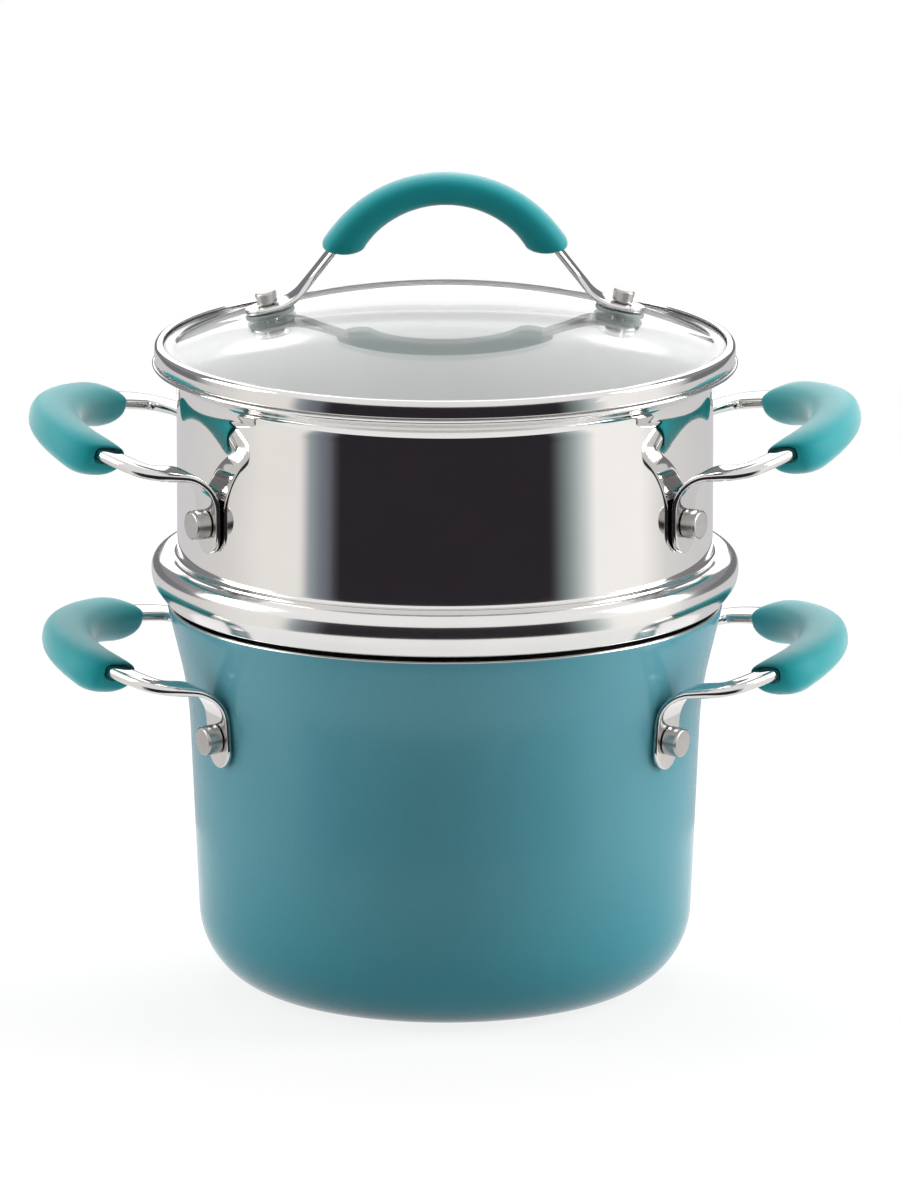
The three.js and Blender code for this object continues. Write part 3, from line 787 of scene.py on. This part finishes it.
SIDE_RIVET = {
    "shank": RIVET_RADIUS,
    "head": RIVET_HEAD_RADIUS,
    "head_height": RIVET_HEAD_HEIGHT,
    "bend": RIVET_HEAD_BEND,
    "tail": RIVET_TAIL_RADIUS,
    "tail_height": RIVET_TAIL_HEIGHT,
}


class SideHandle:
    """A side handle for a wall, in the frame of its vessel, with its loop toward +X."""

    def __init__(self, wall_at, rod_height):
        tip_height = rod_height - FOOT_LENGTH
        top_height = rod_height - ARM_FALL - FOOT_BEND
        lean = math.atan2(wall_at(top_height) - wall_at(tip_height), top_height - tip_height)
        teal_with_painted_base_shade = SEAT_GAP + STRAP_THICKNESS / 2

        def seat_at(height):
            return wall_at(tip_height) + (height - tip_height) * math.tan(lean) + teal_with_painted_base_shade / math.cos(lean)

        rivet_height = tip_height + RIVET_INSET * math.cos(lean)
        bearing = math.asin(FOOT_SPREAD / seat_at(rivet_height))
        radial = Vector((math.cos(bearing), math.sin(bearing), 0))

        def on_seat(height):
            return radial * seat_at(height) + UP * height

        tilt = LOOP_TILT - lean
        along = math.cos(LOOP_SPREAD) * LOOP_RADIUS - math.sin(LOOP_SPREAD) * SHOULDER_LEAD
        reach = wall_at(rivet_height) + LOOP_REACH - LOOP_RADIUS * math.cos(tilt)
        self.loop = Loop(
            Vector((reach, 0, rod_height - along * math.sin(tilt))),
            Vector((math.cos(tilt), 0, math.sin(tilt))),
            Vector((0, 1, 0)), LOOP_RADIUS, LOOP_SPREAD,
        )
        shoulder = self.loop.point(LOOP_SPREAD) - self.loop.along(LOOP_SPREAD) * SHOULDER_LEAD
        tip = on_seat(tip_height)
        climb = (on_seat(rod_height) - tip).normalized()
        self.line = handle_line([
            *tip_corners(tip, climb, STRAP_WIDTH),
            (on_seat(rod_height - ARM_FALL), FOOT_BEND),
            (shoulder, SHOULDER_BEND),
        ], self.loop)
        self.tangent = UP.cross(radial)
        face = Vector((math.cos(lean) * radial.x, math.cos(lean) * radial.y, -math.sin(lean)))
        point = on_seat(rivet_height) + face * (STRAP_THICKNESS / 2)
        across = self.loop.across
        self.rivets = [(point, face), (mirror(point, across), mirror(face, across))]
        gap = seat_at(rivet_height) - wall_at(rivet_height)
        self.stand_off = gap * math.cos(lean) + STRAP_THICKNESS / 2


def turned(angle):
    return Matrix.Rotation(angle, 4, "Z")


def wall_holes(handle, place):
    """The rivet holes of both handles in a wall."""
    holes = []
    for turn in (0.0, math.pi):
        at = place @ turned(turn)
        holes += [(at @ point, at.to_3x3() @ axis) for point, axis in handle.rivets]
    return holes


def add_side_handles(vessel, handle, sheet, place):
    """A pair of side handles, with their grips and rivets, riding on a vessel."""
    size = {
        "width": STRAP_WIDTH, "bar_width": BAR_WIDTH, "bar_thickness": BAR_THICKNESS,
        "flat": STRAP_FLAT, "taper": STRAP_TAPER,
    }
    grip_size = {
        "spread": GRIP_SPREAD, "width": GRIP_WIDTH, "height": GRIP_HEIGHT,
        "out": GRIP_OUT, "drop": GRIP_DROP, "bar": (BAR_WIDTH, BAR_THICKNESS),
        "end": GRIP_END, "flare": 0.0, "sag": GRIP_SAG, "slant": GRIP_SLANT,
    }
    for side, turn in (("right", 0.0), ("left", math.pi)):
        at = place @ turned(turn)
        name = f"{vessel}_handle_rod_{side}"
        loop = handle.loop
        rod = bent_rod(
            f"{name}_fine", handle.line, loop.across, handle.tangent, loop.normal.cross, size, at,
        )
        holes = [(at @ point, at.to_3x3() @ axis) for point, axis in handle.rivets]
        drilled(rod, holes, RIVET_RADIUS + SHANK_GAP, 2 * STRAP_THICKNESS)
        show(rod, name, vessel)
        name = f"{vessel}_handle_grip_{side}"
        show(grip(f"{name}_fine", loop, grip_size, at), name, vessel)
        for k, (point, axis) in enumerate(handle.rivets):
            name = f"{vessel}_rivet_{side}_{k + 1}"
            stack = handle.stand_off + sheet
            pin = rivet(f"{name}_fine", SIDE_RIVET, stack, at @ along_axis(point, axis))
            show(pin, name, vessel)


# Pot: enamel outside, a bare ground rim and a coated inside

pot_line = bent_line([
    corner(0, 0),
    corner(POT_FOOT_RADIUS, 0, POT_CORNER_BEND),
    corner(POT_WAIST_RADIUS, POT_HEIGHT - POT_FLARE_HEIGHT, POT_WAIST_BEND),
    corner(POT_RIM_RADIUS, POT_HEIGHT),
], POT_TURN_STEP)
pot_top = offset(pot_line, POT_WALL)[-1][0].z
outer = trimmed(pot_line, POT_WALL, False, True)
inner = offset(outer, POT_WALL)
edge = cap(outer[-1][0], inner[-1][0], outer[-1][1])
pot_outline = [p for p, d in outer] + edge + [p for p, d in reversed(inner)]
pot_index = [0] * (len(outer) + 1) + [1] * (len(edge) - 1) + [2] * len(inner)
IDENTITY = Matrix.Identity(4)
pot_handle = SideHandle(lambda height: radius_at(pot_line, height), POT_HEIGHT - POT_ROD_DROP)
pot_shell = lathe(
    "pot_shell_fine", pot_outline, [ENAMEL, RIM_STEEL, COATING], closed=False, index=pot_index,
)
drilled(pot_shell, wall_holes(pot_handle, IDENTITY), RIVET_RADIUS + SHANK_GAP, 3 * POT_WALL)
show(pot_shell, "pot_body", "pot")
add_side_handles("pot", pot_handle, POT_WALL, IDENTITY)

# Steamer insert

steamer_place = Matrix.Translation((0, 0, POT_HEIGHT)) @ turned(STEAMER_TURN)
seat_height = pot_top - POT_HEIGHT + SEAT_GAP
basket_radius = radius_at(pot_line, POT_HEIGHT - BASKET_DEPTH) - POT_WALL - BASKET_CLEARANCE
steamer_line = bent_line([
    corner(basket_radius - FLOOR_LEDGE, -BASKET_DEPTH),
    corner(basket_radius, -BASKET_DEPTH, BASKET_BEND),
    corner(basket_radius, seat_height, BASKET_BEND),
    corner(POT_RIM_RADIUS - POT_WALL, seat_height, SEAT_BEND),
    corner(POT_RIM_RADIUS + SEAT_OVERHANG, seat_height + SEAT_LIFT, SEAT_BEND),
    corner(BEAD_RADIUS, BEAD_SIDE, BEAD_SIDE_BEND),
    corner(BEAD_RADIUS, BEAD_TOP, BEAD_TOP_BEND),
    corner(STEAMER_RADIUS, COVE_HEIGHT, COVE_BEND),
    corner(STEAMER_RADIUS, STEAMER_HEIGHT - LIP_RISE, LIP_BEND),
    corner(STEAMER_RADIUS + LIP_FLARE, STEAMER_HEIGHT),
])


def sheet_outline(line, thickness):
    """A bent sheet's closed outline with rounded edges, and which of its faces are on the inside."""
    low = trimmed(line, thickness, True, True)
    high = offset(low, thickness)
    top = cap(low[-1][0], high[-1][0], low[-1][1])
    bottom = cap(high[0][0], low[0][0], -low[0][1])
    outline = [p for p, d in low] + top + [p for p, d in reversed(high)] + bottom
    index = [0] * (len(low) + len(top)) + [1] * (len(high) - 1) + [0] * (len(bottom) + 1)
    return outline, index


steamer_handle = SideHandle(lambda height: STEAMER_RADIUS, STEAMER_HEIGHT - STEAMER_ROD_DROP)
outline, index = sheet_outline(steamer_line, STEAMER_SHEET)
steamer_shell = lathe(
    "steamer_shell_fine", outline, [SHELL_STEEL, SATIN_STEEL], index=index, place=steamer_place,
)
steamer_holes = wall_holes(steamer_handle, steamer_place)
drilled(steamer_shell, steamer_holes, RIVET_RADIUS + SHANK_GAP, 3 * STEAMER_SHEET)
shell_nodes = "steamer_basket steamer_bead steamer_wall steamer_lip"
show(steamer_shell, shell_nodes, "steamer")
add_side_handles("steamer", steamer_handle, STEAMER_SHEET, steamer_place)


def perforated_floor(name, place):
    """A disc with rings of round holes and softened edges."""
    curve = bpy.data.curves.new(name, "CURVE")
    curve.dimensions = "2D"
    curve.fill_mode = "BOTH"
    curve.extrude = (FLOOR_THICKNESS / 2 - FLOOR_EDGE) * MM
    curve.bevel_depth = FLOOR_EDGE * MM
    curve.bevel_resolution = 2

    def ring(radius, steps, x=0.0, y=0.0):
        spline = curve.splines.new("POLY")
        spline.use_cyclic_u = True
        spline.points.add(steps - 1)
        for k, point in enumerate(spline.points):
            angle = 2 * math.pi * k / steps
            point.co = ((x + radius * math.cos(angle)) * MM, (y + radius * math.sin(angle)) * MM, 0, 1)

    ring(basket_radius - STEAMER_SHEET - SEAT_GAP - FLOOR_EDGE, SPIN_STEPS)
    for row in range(HOLE_RINGS + 1):
        count = max(1, HOLES_PER_RING * row)
        for k in range(count):
            angle = 2 * math.pi * k / count
            reach = row * HOLE_PITCH
            x, y = reach * math.cos(angle), reach * math.sin(angle)
            ring(HOLE_RADIUS + FLOOR_EDGE, HOLE_STEPS, x, y)
    source = bpy.data.objects.new(name, curve)
    bpy.context.scene.collection.objects.link(source)
    bpy.context.view_layer.update()
    mesh = bpy.data.meshes.new_from_object(source.evaluated_get(bpy.context.evaluated_depsgraph_get()))
    bpy.data.objects.remove(source)
    bpy.data.curves.remove(curve)
    work = bmesh.new()
    work.from_mesh(mesh)
    bmesh.ops.remove_doubles(work, verts=work.verts, dist=TINY * MM)
    bmesh.ops.recalc_face_normals(work, faces=work.faces)
    work.to_mesh(mesh)
    work.free()
    shift = Matrix.Translation(place.translation * MM) @ place.to_3x3().to_4x4()
    mesh.transform(shift)
    mesh.materials.clear()
    mesh.materials.append(SATIN_STEEL)
    soften(mesh)
    piece = bpy.data.objects.new(name, mesh)
    bpy.context.scene.collection.objects.link(piece)
    return piece


floor_height = -BASKET_DEPTH + STEAMER_SHEET + SEAT_GAP + FLOOR_THICKNESS / 2
floor_place = steamer_place @ Matrix.Translation((0, 0, floor_height))
show(perforated_floor("steamer_floor_fine", floor_place), "steamer_floor", "steamer")

# Lid

band_radius = STEAMER_RADIUS + LIP_FLARE - BAND_SET_IN
lip_slope = math.atan2(LIP_RISE, LIP_FLARE)
lip_edge = offset(steamer_line, STEAMER_SHEET)[-1][0]
band_foot_in = (band_radius - BAND_BEND - lip_edge.x) * math.sin(lip_slope)
lid_seat = lip_edge.z - BAND_BEND + (BAND_BEND + SEAT_GAP + band_foot_in) / math.cos(lip_slope)
lid_place = Matrix.Translation((0, 0, POT_HEIGHT + lid_seat)) @ turned(LID_TURN)

band_line = bent_line([
    corner(band_radius - BAND_FOOT_LAND, 0),
    corner(band_radius - BAND_BARREL, 0, BAND_BEND),
    corner(band_radius, BAND_HEIGHT / 2, BAND_BARREL_BEND),
    corner(band_radius - BAND_BARREL, BAND_HEIGHT, BAND_BEND),
    corner(band_radius - BAND_TOP_LAND, BAND_HEIGHT),
])
band_outline = sheet_outline(band_line, BAND_SHEET)[0]
band = lathe("lid_rim_band_fine", band_outline, [BAND_STEEL], place=lid_place)
show(band, "lid_rim_band", "lid")

glass_radius = band_radius - BAND_SHEET - SEAT_GAP
glass_foot = BAND_SHEET + SEAT_GAP
dome_span = glass_radius - GLASS_FLANGE
dome_radius = (dome_span ** 2 + DOME_RISE ** 2) / (2 * DOME_RISE)
dome_slope = math.asin(dome_span / dome_radius)
dome_top = glass_foot + DOME_RISE
glass_line = bent_line([
    corner(0, dome_top),
    corner(dome_radius * math.tan(dome_slope / 2), dome_top, dome_radius),
    corner(dome_span, glass_foot, GLASS_FLANGE_BEND),
    corner(glass_radius, glass_foot),
], GLASS_TURN_STEP)
glass_low = trimmed(glass_line, GLASS_THICKNESS, False, True)
glass_high = offset(glass_low, GLASS_THICKNESS)
glass_edge = cap(glass_low[-1][0], glass_high[-1][0], glass_low[-1][1])
glass_outline = [p for p, d in glass_low] + glass_edge + [p for p, d in reversed(glass_high)]
lid_slope = math.asin(LID_RIVET_REACH / (dome_radius + GLASS_THICKNESS))
lid_axis = Vector((math.sin(lid_slope), 0, math.cos(lid_slope)))
dome_height = math.sqrt((dome_radius + GLASS_THICKNESS) ** 2 - LID_RIVET_REACH ** 2)
glass_point = Vector((LID_RIVET_REACH, 0, dome_top - dome_radius + dome_height + DOME_LIFT))
ACROSS_LID = Vector((1, 0, 0))
lid_seats = [
    ("right", glass_point, lid_axis),
    ("left", mirror(glass_point, ACROSS_LID), mirror(lid_axis, ACROSS_LID)),
]
lid_holes = [(lid_place @ point, lid_place.to_3x3() @ axis) for side, point, axis in lid_seats]
dome = lathe("lid_glass_fine", glass_outline, [GLASS], closed=False, place=lid_place)
drilled(dome, lid_holes, LID_RIVET_RADIUS + SHANK_GAP, 2 * GLASS_THICKNESS)
show(dome, "lid_glass", "lid")

# Lid handle

strap_base = SEAT_GAP + GASKET_THICKNESS + SEAT_GAP
lid_foot = glass_point + lid_axis * (strap_base + STRAP_THICKNESS / 2)
out_along = Vector((math.cos(lid_slope), 0, -math.sin(lid_slope)))
lid_tip = lid_foot + out_along * LID_RIVET_INSET
lid_centre = Vector((0, 0, LID_LOOP_TOP - LID_LOOP_RADIUS))
lid_loop = Loop(lid_centre, UP, ACROSS_LID, LID_LOOP_RADIUS, LID_LOOP_SPREAD)
lid_start = lid_loop.point(LID_LOOP_SPREAD)
lid_leg = -lid_loop.along(LID_LOOP_SPREAD)
leg_run = (lid_start - lid_foot).dot(lid_axis) / -lid_leg.dot(lid_axis)
lid_knee = lid_start + lid_leg * leg_run
knee_reach = (lid_tip - lid_knee).length
lid_line = handle_line([
    *tip_corners(lid_tip, -out_along, LID_STRAP_WIDTH),
    (lid_knee, LID_FOOT_BEND),
], lid_loop)
lid_size = {
    "width": LID_STRAP_WIDTH, "bar_width": LID_BAR_WIDTH, "bar_thickness": LID_BAR_THICKNESS,
    "flat": knee_reach, "taper": LID_STRAP_TAPER,
}
LID_WIDE = Vector((0, 1, 0))
lid_rod = bent_rod(
    "lid_handle_rod_fine", lid_line, ACROSS_LID, LID_WIDE, lambda along: LID_WIDE, lid_size, lid_place,
)
drilled(lid_rod, lid_holes, LID_RIVET_RADIUS + SHANK_GAP, 3 * STRAP_THICKNESS)
show(lid_rod, "lid_handle_rod", "lid")
lid_grip_size = {
    "spread": LID_GRIP_SPREAD, "width": LID_GRIP_WIDTH, "height": LID_GRIP_DEPTH,
    "out": -LID_GRIP_IN, "drop": 0.0, "bar": (LID_BAR_THICKNESS, LID_BAR_WIDTH),
    "end": LID_GRIP_END, "flare": LID_GRIP_FLARE, "sag": 0.0, "slant": LID_GRIP_SLANT,
}
lid_grip = grip("lid_handle_grip_fine", lid_loop, lid_grip_size, lid_place)
show(lid_grip, "lid_handle_grip", "lid")

LID_RIVET = {
    "shank": LID_RIVET_RADIUS,
    "head": LID_RIVET_HEAD_RADIUS,
    "head_height": LID_RIVET_HEAD_HEIGHT,
    "bend": LID_RIVET_HEAD_BEND,
    "tail": LID_RIVET_TAIL_RADIUS,
    "tail_height": LID_RIVET_TAIL_HEIGHT,
}
strap_top = strap_base + STRAP_THICKNESS
under_glass = -GLASS_THICKNESS - DOME_LIFT - HOLLOW_GAP - GASKET_THICKNESS


def washer(name, place):
    """A flat washer with rounded edges."""
    outer_radius = GASKET_RADIUS
    inner_radius = LID_RIVET_RADIUS + SHANK_GAP
    line = bent_line([
        corner((outer_radius + inner_radius) / 2, 0),
        corner(outer_radius, 0, GASKET_EDGE),
        corner(outer_radius, GASKET_THICKNESS, GASKET_EDGE),
        corner(inner_radius, GASKET_THICKNESS, GASKET_EDGE),
        corner(inner_radius, 0, GASKET_EDGE),
        corner((outer_radius + inner_radius) / 2 - HOLD, 0),
    ], WASHER_TURN_STEP, SMALL_LEG_STEP)
    return lathe(name, [p for p, d in line], [GASKET], SMALL_STEPS, place=place)


for side, point, axis in lid_seats:
    def raised(height):
        return lid_place @ along_axis(point + axis * height, axis)

    pin = rivet(f"lid_rivet_{side}_fine", LID_RIVET, strap_top - under_glass, raised(strap_top))
    show(pin, f"lid_rivet_{side}", "lid")
    upper = washer(f"lid_gasket_upper_{side}_fine", raised(SEAT_GAP))
    show(upper, f"lid_gasket_upper_{side}", "lid")
    lower = washer(f"lid_gasket_lower_{side}_fine", raised(under_glass))
    show(lower, f"lid_gasket_lower_{side}", "lid")


# Stage

FLOOR_COLOUR = (0.86, 0.86, 0.86, 1)
FLOOR_ROUGHNESS = 0.9
FLOOR_GLOW = 0.84
GLOW_NEAR = 0.45
GLOW_FAR = 1.0
FLOOR_HALF = 12.0
PANEL_HALF = 0.6
PANEL_BEHIND = 1.28
PANEL_LOW = 0.3
PANEL_HIGH = 2.2
PANEL_GLOW = (1.85, 1.85, 1.85)
WORLD_LIGHT = 0.31
LAMP_ASIDE = 1.4
LAMP_BEHIND = 0.05
LAMP_RISE = 0.6
SIDE_LAMP_SIZE = (0.8, 1.0)
LEFT_POWER = 16
RIGHT_POWER = 25
TOP_LAMP = (0, 0.55, 1.4)
TOP_LAMP_SIZE = (1.2, 0.8)
TOP_POWER = 20
AIM = (0, 0, 0.14)
CAMERA_TURN = math.radians(1.0)
CAMERA_RISE = math.radians(12.7)
CAMERA_FAR = 6.0
CAMERA_CLIP = 60
VIEW_HEIGHT = 0.408
SENSOR = 36.0
TARGET = Vector((0.0017, 0, 0.1335))


def staged(name, verts, faces, material):
    """A piece of the stage, in metres."""
    mesh = bpy.data.meshes.new(name)
    mesh.from_pydata(verts, [], faces)
    mesh.materials.append(material)
    piece = bpy.data.objects.new(name, mesh)
    bpy.context.scene.collection.objects.link(piece)
    return piece


def seen_white(tree):
    """One for camera, glossy and transmission rays, and zero for the rays that light things."""
    path = tree.nodes.new("ShaderNodeLightPath")
    total = path.outputs["Is Camera Ray"]
    for ray in ("Is Glossy Ray", "Is Transmission Ray"):
        node = tree.nodes.new("ShaderNodeMath")
        node.operation = "MAXIMUM"
        tree.links.new(total, node.inputs[0])
        tree.links.new(path.outputs[ray], node.inputs[1])
        total = node.outputs[0]
    return total


def lit_or_seen(tree, share, lit, seen, end):
    """Sends one shader to the end node for the rays that light things and another for the rest."""
    mix = tree.nodes.new("ShaderNodeMixShader")
    tree.links.new(share, mix.inputs["Fac"])
    tree.links.new(lit.outputs[0], mix.inputs[1])
    tree.links.new(seen.outputs[0], mix.inputs[2])
    tree.links.new(mix.outputs[0], tree.nodes[end].inputs["Surface"])


floor_material = bpy.data.materials.new("pale_floor")
floor_material.use_nodes = True
tree = floor_material.node_tree
paint = tree.nodes["Principled BSDF"]
paint.inputs["Base Color"].default_value = FLOOR_COLOUR
paint.inputs["Roughness"].default_value = FLOOR_ROUGHNESS
glow = tree.nodes.new("ShaderNodeEmission")
share = tree.nodes.new("ShaderNodeMath")
share.operation = "MULTIPLY"
tree.links.new(seen_white(tree), share.inputs[0])
reach = tree.nodes.new("ShaderNodeVectorMath")
reach.operation = "LENGTH"
tree.links.new(tree.nodes.new("ShaderNodeTexCoord").outputs["Object"], reach.inputs[0])
fade = tree.nodes.new("ShaderNodeMapRange")
fade.inputs["From Min"].default_value = GLOW_NEAR
fade.inputs["From Max"].default_value = GLOW_FAR
fade.inputs["To Min"].default_value = FLOOR_GLOW
tree.links.new(reach.outputs["Value"], fade.inputs["Value"])
tree.links.new(fade.outputs["Result"], share.inputs[1])
lit_or_seen(tree, share.outputs[0], paint, glow, "Material Output")
staged("studio_floor", [
    (-FLOOR_HALF, -FLOOR_HALF, 0), (FLOOR_HALF, -FLOOR_HALF, 0),
    (FLOOR_HALF, FLOOR_HALF, 0), (-FLOOR_HALF, FLOOR_HALF, 0),
], [(0, 1, 2, 3)], floor_material)


def reflected_only(piece):
    """Leaves a stage piece to reflections, so that it neither shows nor lights or shades anything."""
    piece.visible_camera = False
    piece.visible_diffuse = False
    piece.visible_transmission = False
    piece.visible_volume_scatter = False
    piece.visible_shadow = False


def surround_material(name, stops):
    """Light and dark studio cards by bearing, from straight behind by the left and the front."""
    material = bpy.data.materials.new(name)
    material.use_nodes = True
    nodes = material.node_tree.nodes
    links = material.node_tree.links
    nodes.remove(nodes["Principled BSDF"])
    place = nodes.new("ShaderNodeTexCoord")
    turn = nodes.new("ShaderNodeMapping")
    turn.inputs["Rotation"].default_value = (0, 0, math.radians(90))
    wheel = nodes.new("ShaderNodeTexGradient")
    wheel.gradient_type = "RADIAL"
    ramp = nodes.new("ShaderNodeValToRGB")
    while len(ramp.color_ramp.elements) < len(stops):
        ramp.color_ramp.elements.new(0.5)
    for element, (bearing, colour) in zip(ramp.color_ramp.elements, stops):
        element.position = 0.5 + bearing / 360
        element.color = (*colour, 1)
    light = nodes.new("ShaderNodeEmission")
    links.new(place.outputs["Object"], turn.inputs["Vector"])
    links.new(turn.outputs["Vector"], wheel.inputs["Vector"])
    links.new(wheel.outputs["Fac"], ramp.inputs["Fac"])
    links.new(ramp.outputs["Color"], light.inputs["Color"])
    links.new(light.outputs[0], nodes["Material Output"].inputs["Surface"])
    return material


def between(bearing, stops):
    """A value read from stops of bearing and value."""
    for (a, low), (b, high) in zip(stops, stops[1:]):
        if a <= bearing <= b:
            return lerp(low, high, (bearing - a) / (b - a))
    raise ValueError(bearing)


CARD_STEPS = 180


def ring_of_cards(name, low, high, material):
    """A ring of studio cards between two edges, each given by a radius and heights by bearing."""
    verts = []
    for k in range(CARD_STEPS):
        bearing = 360 * k / CARD_STEPS - 180
        angle = math.radians(bearing)
        out = Vector((math.sin(angle), -math.cos(angle), 0))
        for radius, heights in (low, high):
            verts.append(tuple(out * radius + UP * between(bearing, heights)))
    faces = []
    for k in range(CARD_STEPS):
        a = 2 * k
        b = 2 * ((k + 1) % CARD_STEPS)
        faces.append((a, a + 1, b + 1, b))
    reflected_only(staged(name, verts, faces, material))


DARK = (0.028, 0.024, 0.03)
WARM = (0.97, 0.95, 0.92)
BRIGHT = (1.12, 1.1, 1.08)
SHADE = (0.74, 0.73, 0.74)
BACK = (0.6, 0.59, 0.61)
DUSK = (0.2, 0.205, 0.22)
CLOUD = (0.3, 0.3, 0.32)
CARD_NEAR = 0.25
CARD_FAR = 3.6
WALL_CARDS = 1.3
LOW = 0.0006
SIDE = 0.3
REAR = 0.4
HIGH = 1.5
FLAT = [(-180, LOW), (180, LOW)]
LEVEL = [(-180, REAR), (180, REAR)]
RISEN = [
    (-180, REAR), (-112, REAR), (-104, SIDE), (-66, SIDE), (-60, LOW),
    (60, LOW), (66, SIDE), (104, SIDE), (112, REAR), (180, REAR),
]
RAISED = [
    (-180, REAR), (-156, REAR), (-150, HIGH), (-112, HIGH), (-106, REAR),
    (106, REAR), (112, HIGH), (150, HIGH), (156, REAR), (180, REAR),
]
floor_card_glow = surround_material("floor_card_glow", [
    (-180, BACK), (-130, SHADE), (-100, (0.82, 0.8, 0.78)), (-80, WARM), (-61, WARM),
    (-59, (0.73, 0.73, 0.72)), (-56.5, (0.37, 0.42, 0.45)), (-52, (0.22, 0.25, 0.28)),
    (-47.5, (0.155, 0.16, 0.19)), (-45, (0.07, 0.07, 0.08)), (-42.5, DARK),
    (44.5, DARK), (47, (0.08, 0.08, 0.09)), (52.5, (0.26, 0.31, 0.31)), (55.5, (0.4, 0.46, 0.46)),
    (61, (0.72, 0.78, 0.77)), (64, (0.97, 0.97, 0.96)), (66, BRIGHT), (90, BRIGHT),
    (106, (0.82, 0.81, 0.8)), (130, SHADE), (180, BACK),
])
wall_card_glow = surround_material("wall_card_glow", [
    (-180, DUSK), (-112, DUSK), (-100, SHADE), (-80, WARM), (-60, WARM),
    (60, BRIGHT), (90, BRIGHT), (104, SHADE), (112, DUSK), (180, DUSK),
])
high_card_shade = surround_material("high_card_shade", [(-180, CLOUD), (180, CLOUD)])
ring_of_cards("floor_cards", (CARD_NEAR, FLAT), (CARD_FAR, FLAT), floor_card_glow)
ring_of_cards("wall_cards", (WALL_CARDS, FLAT), (WALL_CARDS, RISEN), wall_card_glow)
ring_of_cards("high_cards", (WALL_CARDS, LEVEL), (WALL_CARDS, RAISED), high_card_shade)

back_panel_glow = surround_material("back_panel_glow", [(-180, PANEL_GLOW), (180, PANEL_GLOW)])
reflected_only(staged("back_panel", [
    (-PANEL_HALF, PANEL_BEHIND, PANEL_LOW), (PANEL_HALF, PANEL_BEHIND, PANEL_LOW),
    (PANEL_HALF, PANEL_BEHIND, PANEL_HIGH), (-PANEL_HALF, PANEL_BEHIND, PANEL_HIGH),
], [(0, 1, 2, 3)], back_panel_glow))

world = bpy.data.worlds.new("studio")
bpy.context.scene.world = world
world.use_nodes = True
tree = world.node_tree
soft = tree.nodes["Background"]
soft.inputs["Color"].default_value = (1, 1, 1, 1)
soft.inputs["Strength"].default_value = WORLD_LIGHT
white = tree.nodes.new("ShaderNodeBackground")
white.inputs["Color"].default_value = (1, 1, 1, 1)
lit_or_seen(tree, seen_white(tree), soft, white, "World Output")


def softbox(name, place, size, power):
    """A rectangular lamp that faces the object."""
    light = bpy.data.lights.new(name, "AREA")
    light.shape = "RECTANGLE"
    light.size, light.size_y = size
    light.energy = power
    lamp = bpy.data.objects.new(name, light)
    lamp.location = place
    lamp.rotation_euler = (Vector(AIM) - Vector(place)).to_track_quat("-Z", "Y").to_euler()
    bpy.context.scene.collection.objects.link(lamp)
    return lamp


softbox("softbox_left", (-LAMP_ASIDE, LAMP_BEHIND, LAMP_RISE), SIDE_LAMP_SIZE, LEFT_POWER)
softbox("softbox_right", (LAMP_ASIDE, LAMP_BEHIND, LAMP_RISE), SIDE_LAMP_SIZE, RIGHT_POWER)
top_lamp = softbox("softbox_top", TOP_LAMP, TOP_LAMP_SIZE, TOP_POWER)
top_lamp.visible_glossy = False
top_lamp.visible_transmission = False

camera = bpy.data.cameras.new("camera")
camera.sensor_width = SENSOR
camera.lens = SENSOR * CAMERA_FAR / VIEW_HEIGHT
camera.clip_end = CAMERA_CLIP
eye = bpy.data.objects.new("camera", camera)
back = Vector((
    math.sin(CAMERA_TURN) * math.cos(CAMERA_RISE),
    -math.cos(CAMERA_TURN) * math.cos(CAMERA_RISE),
    math.sin(CAMERA_RISE),
))
eye.location = TARGET + back * CAMERA_FAR
eye.rotation_euler = (-back).to_track_quat("-Z", "Y").to_euler()
bpy.context.scene.collection.objects.link(eye)
bpy.context.scene.camera = eye
bpy.context.scene.view_settings.view_transform = "Standard"
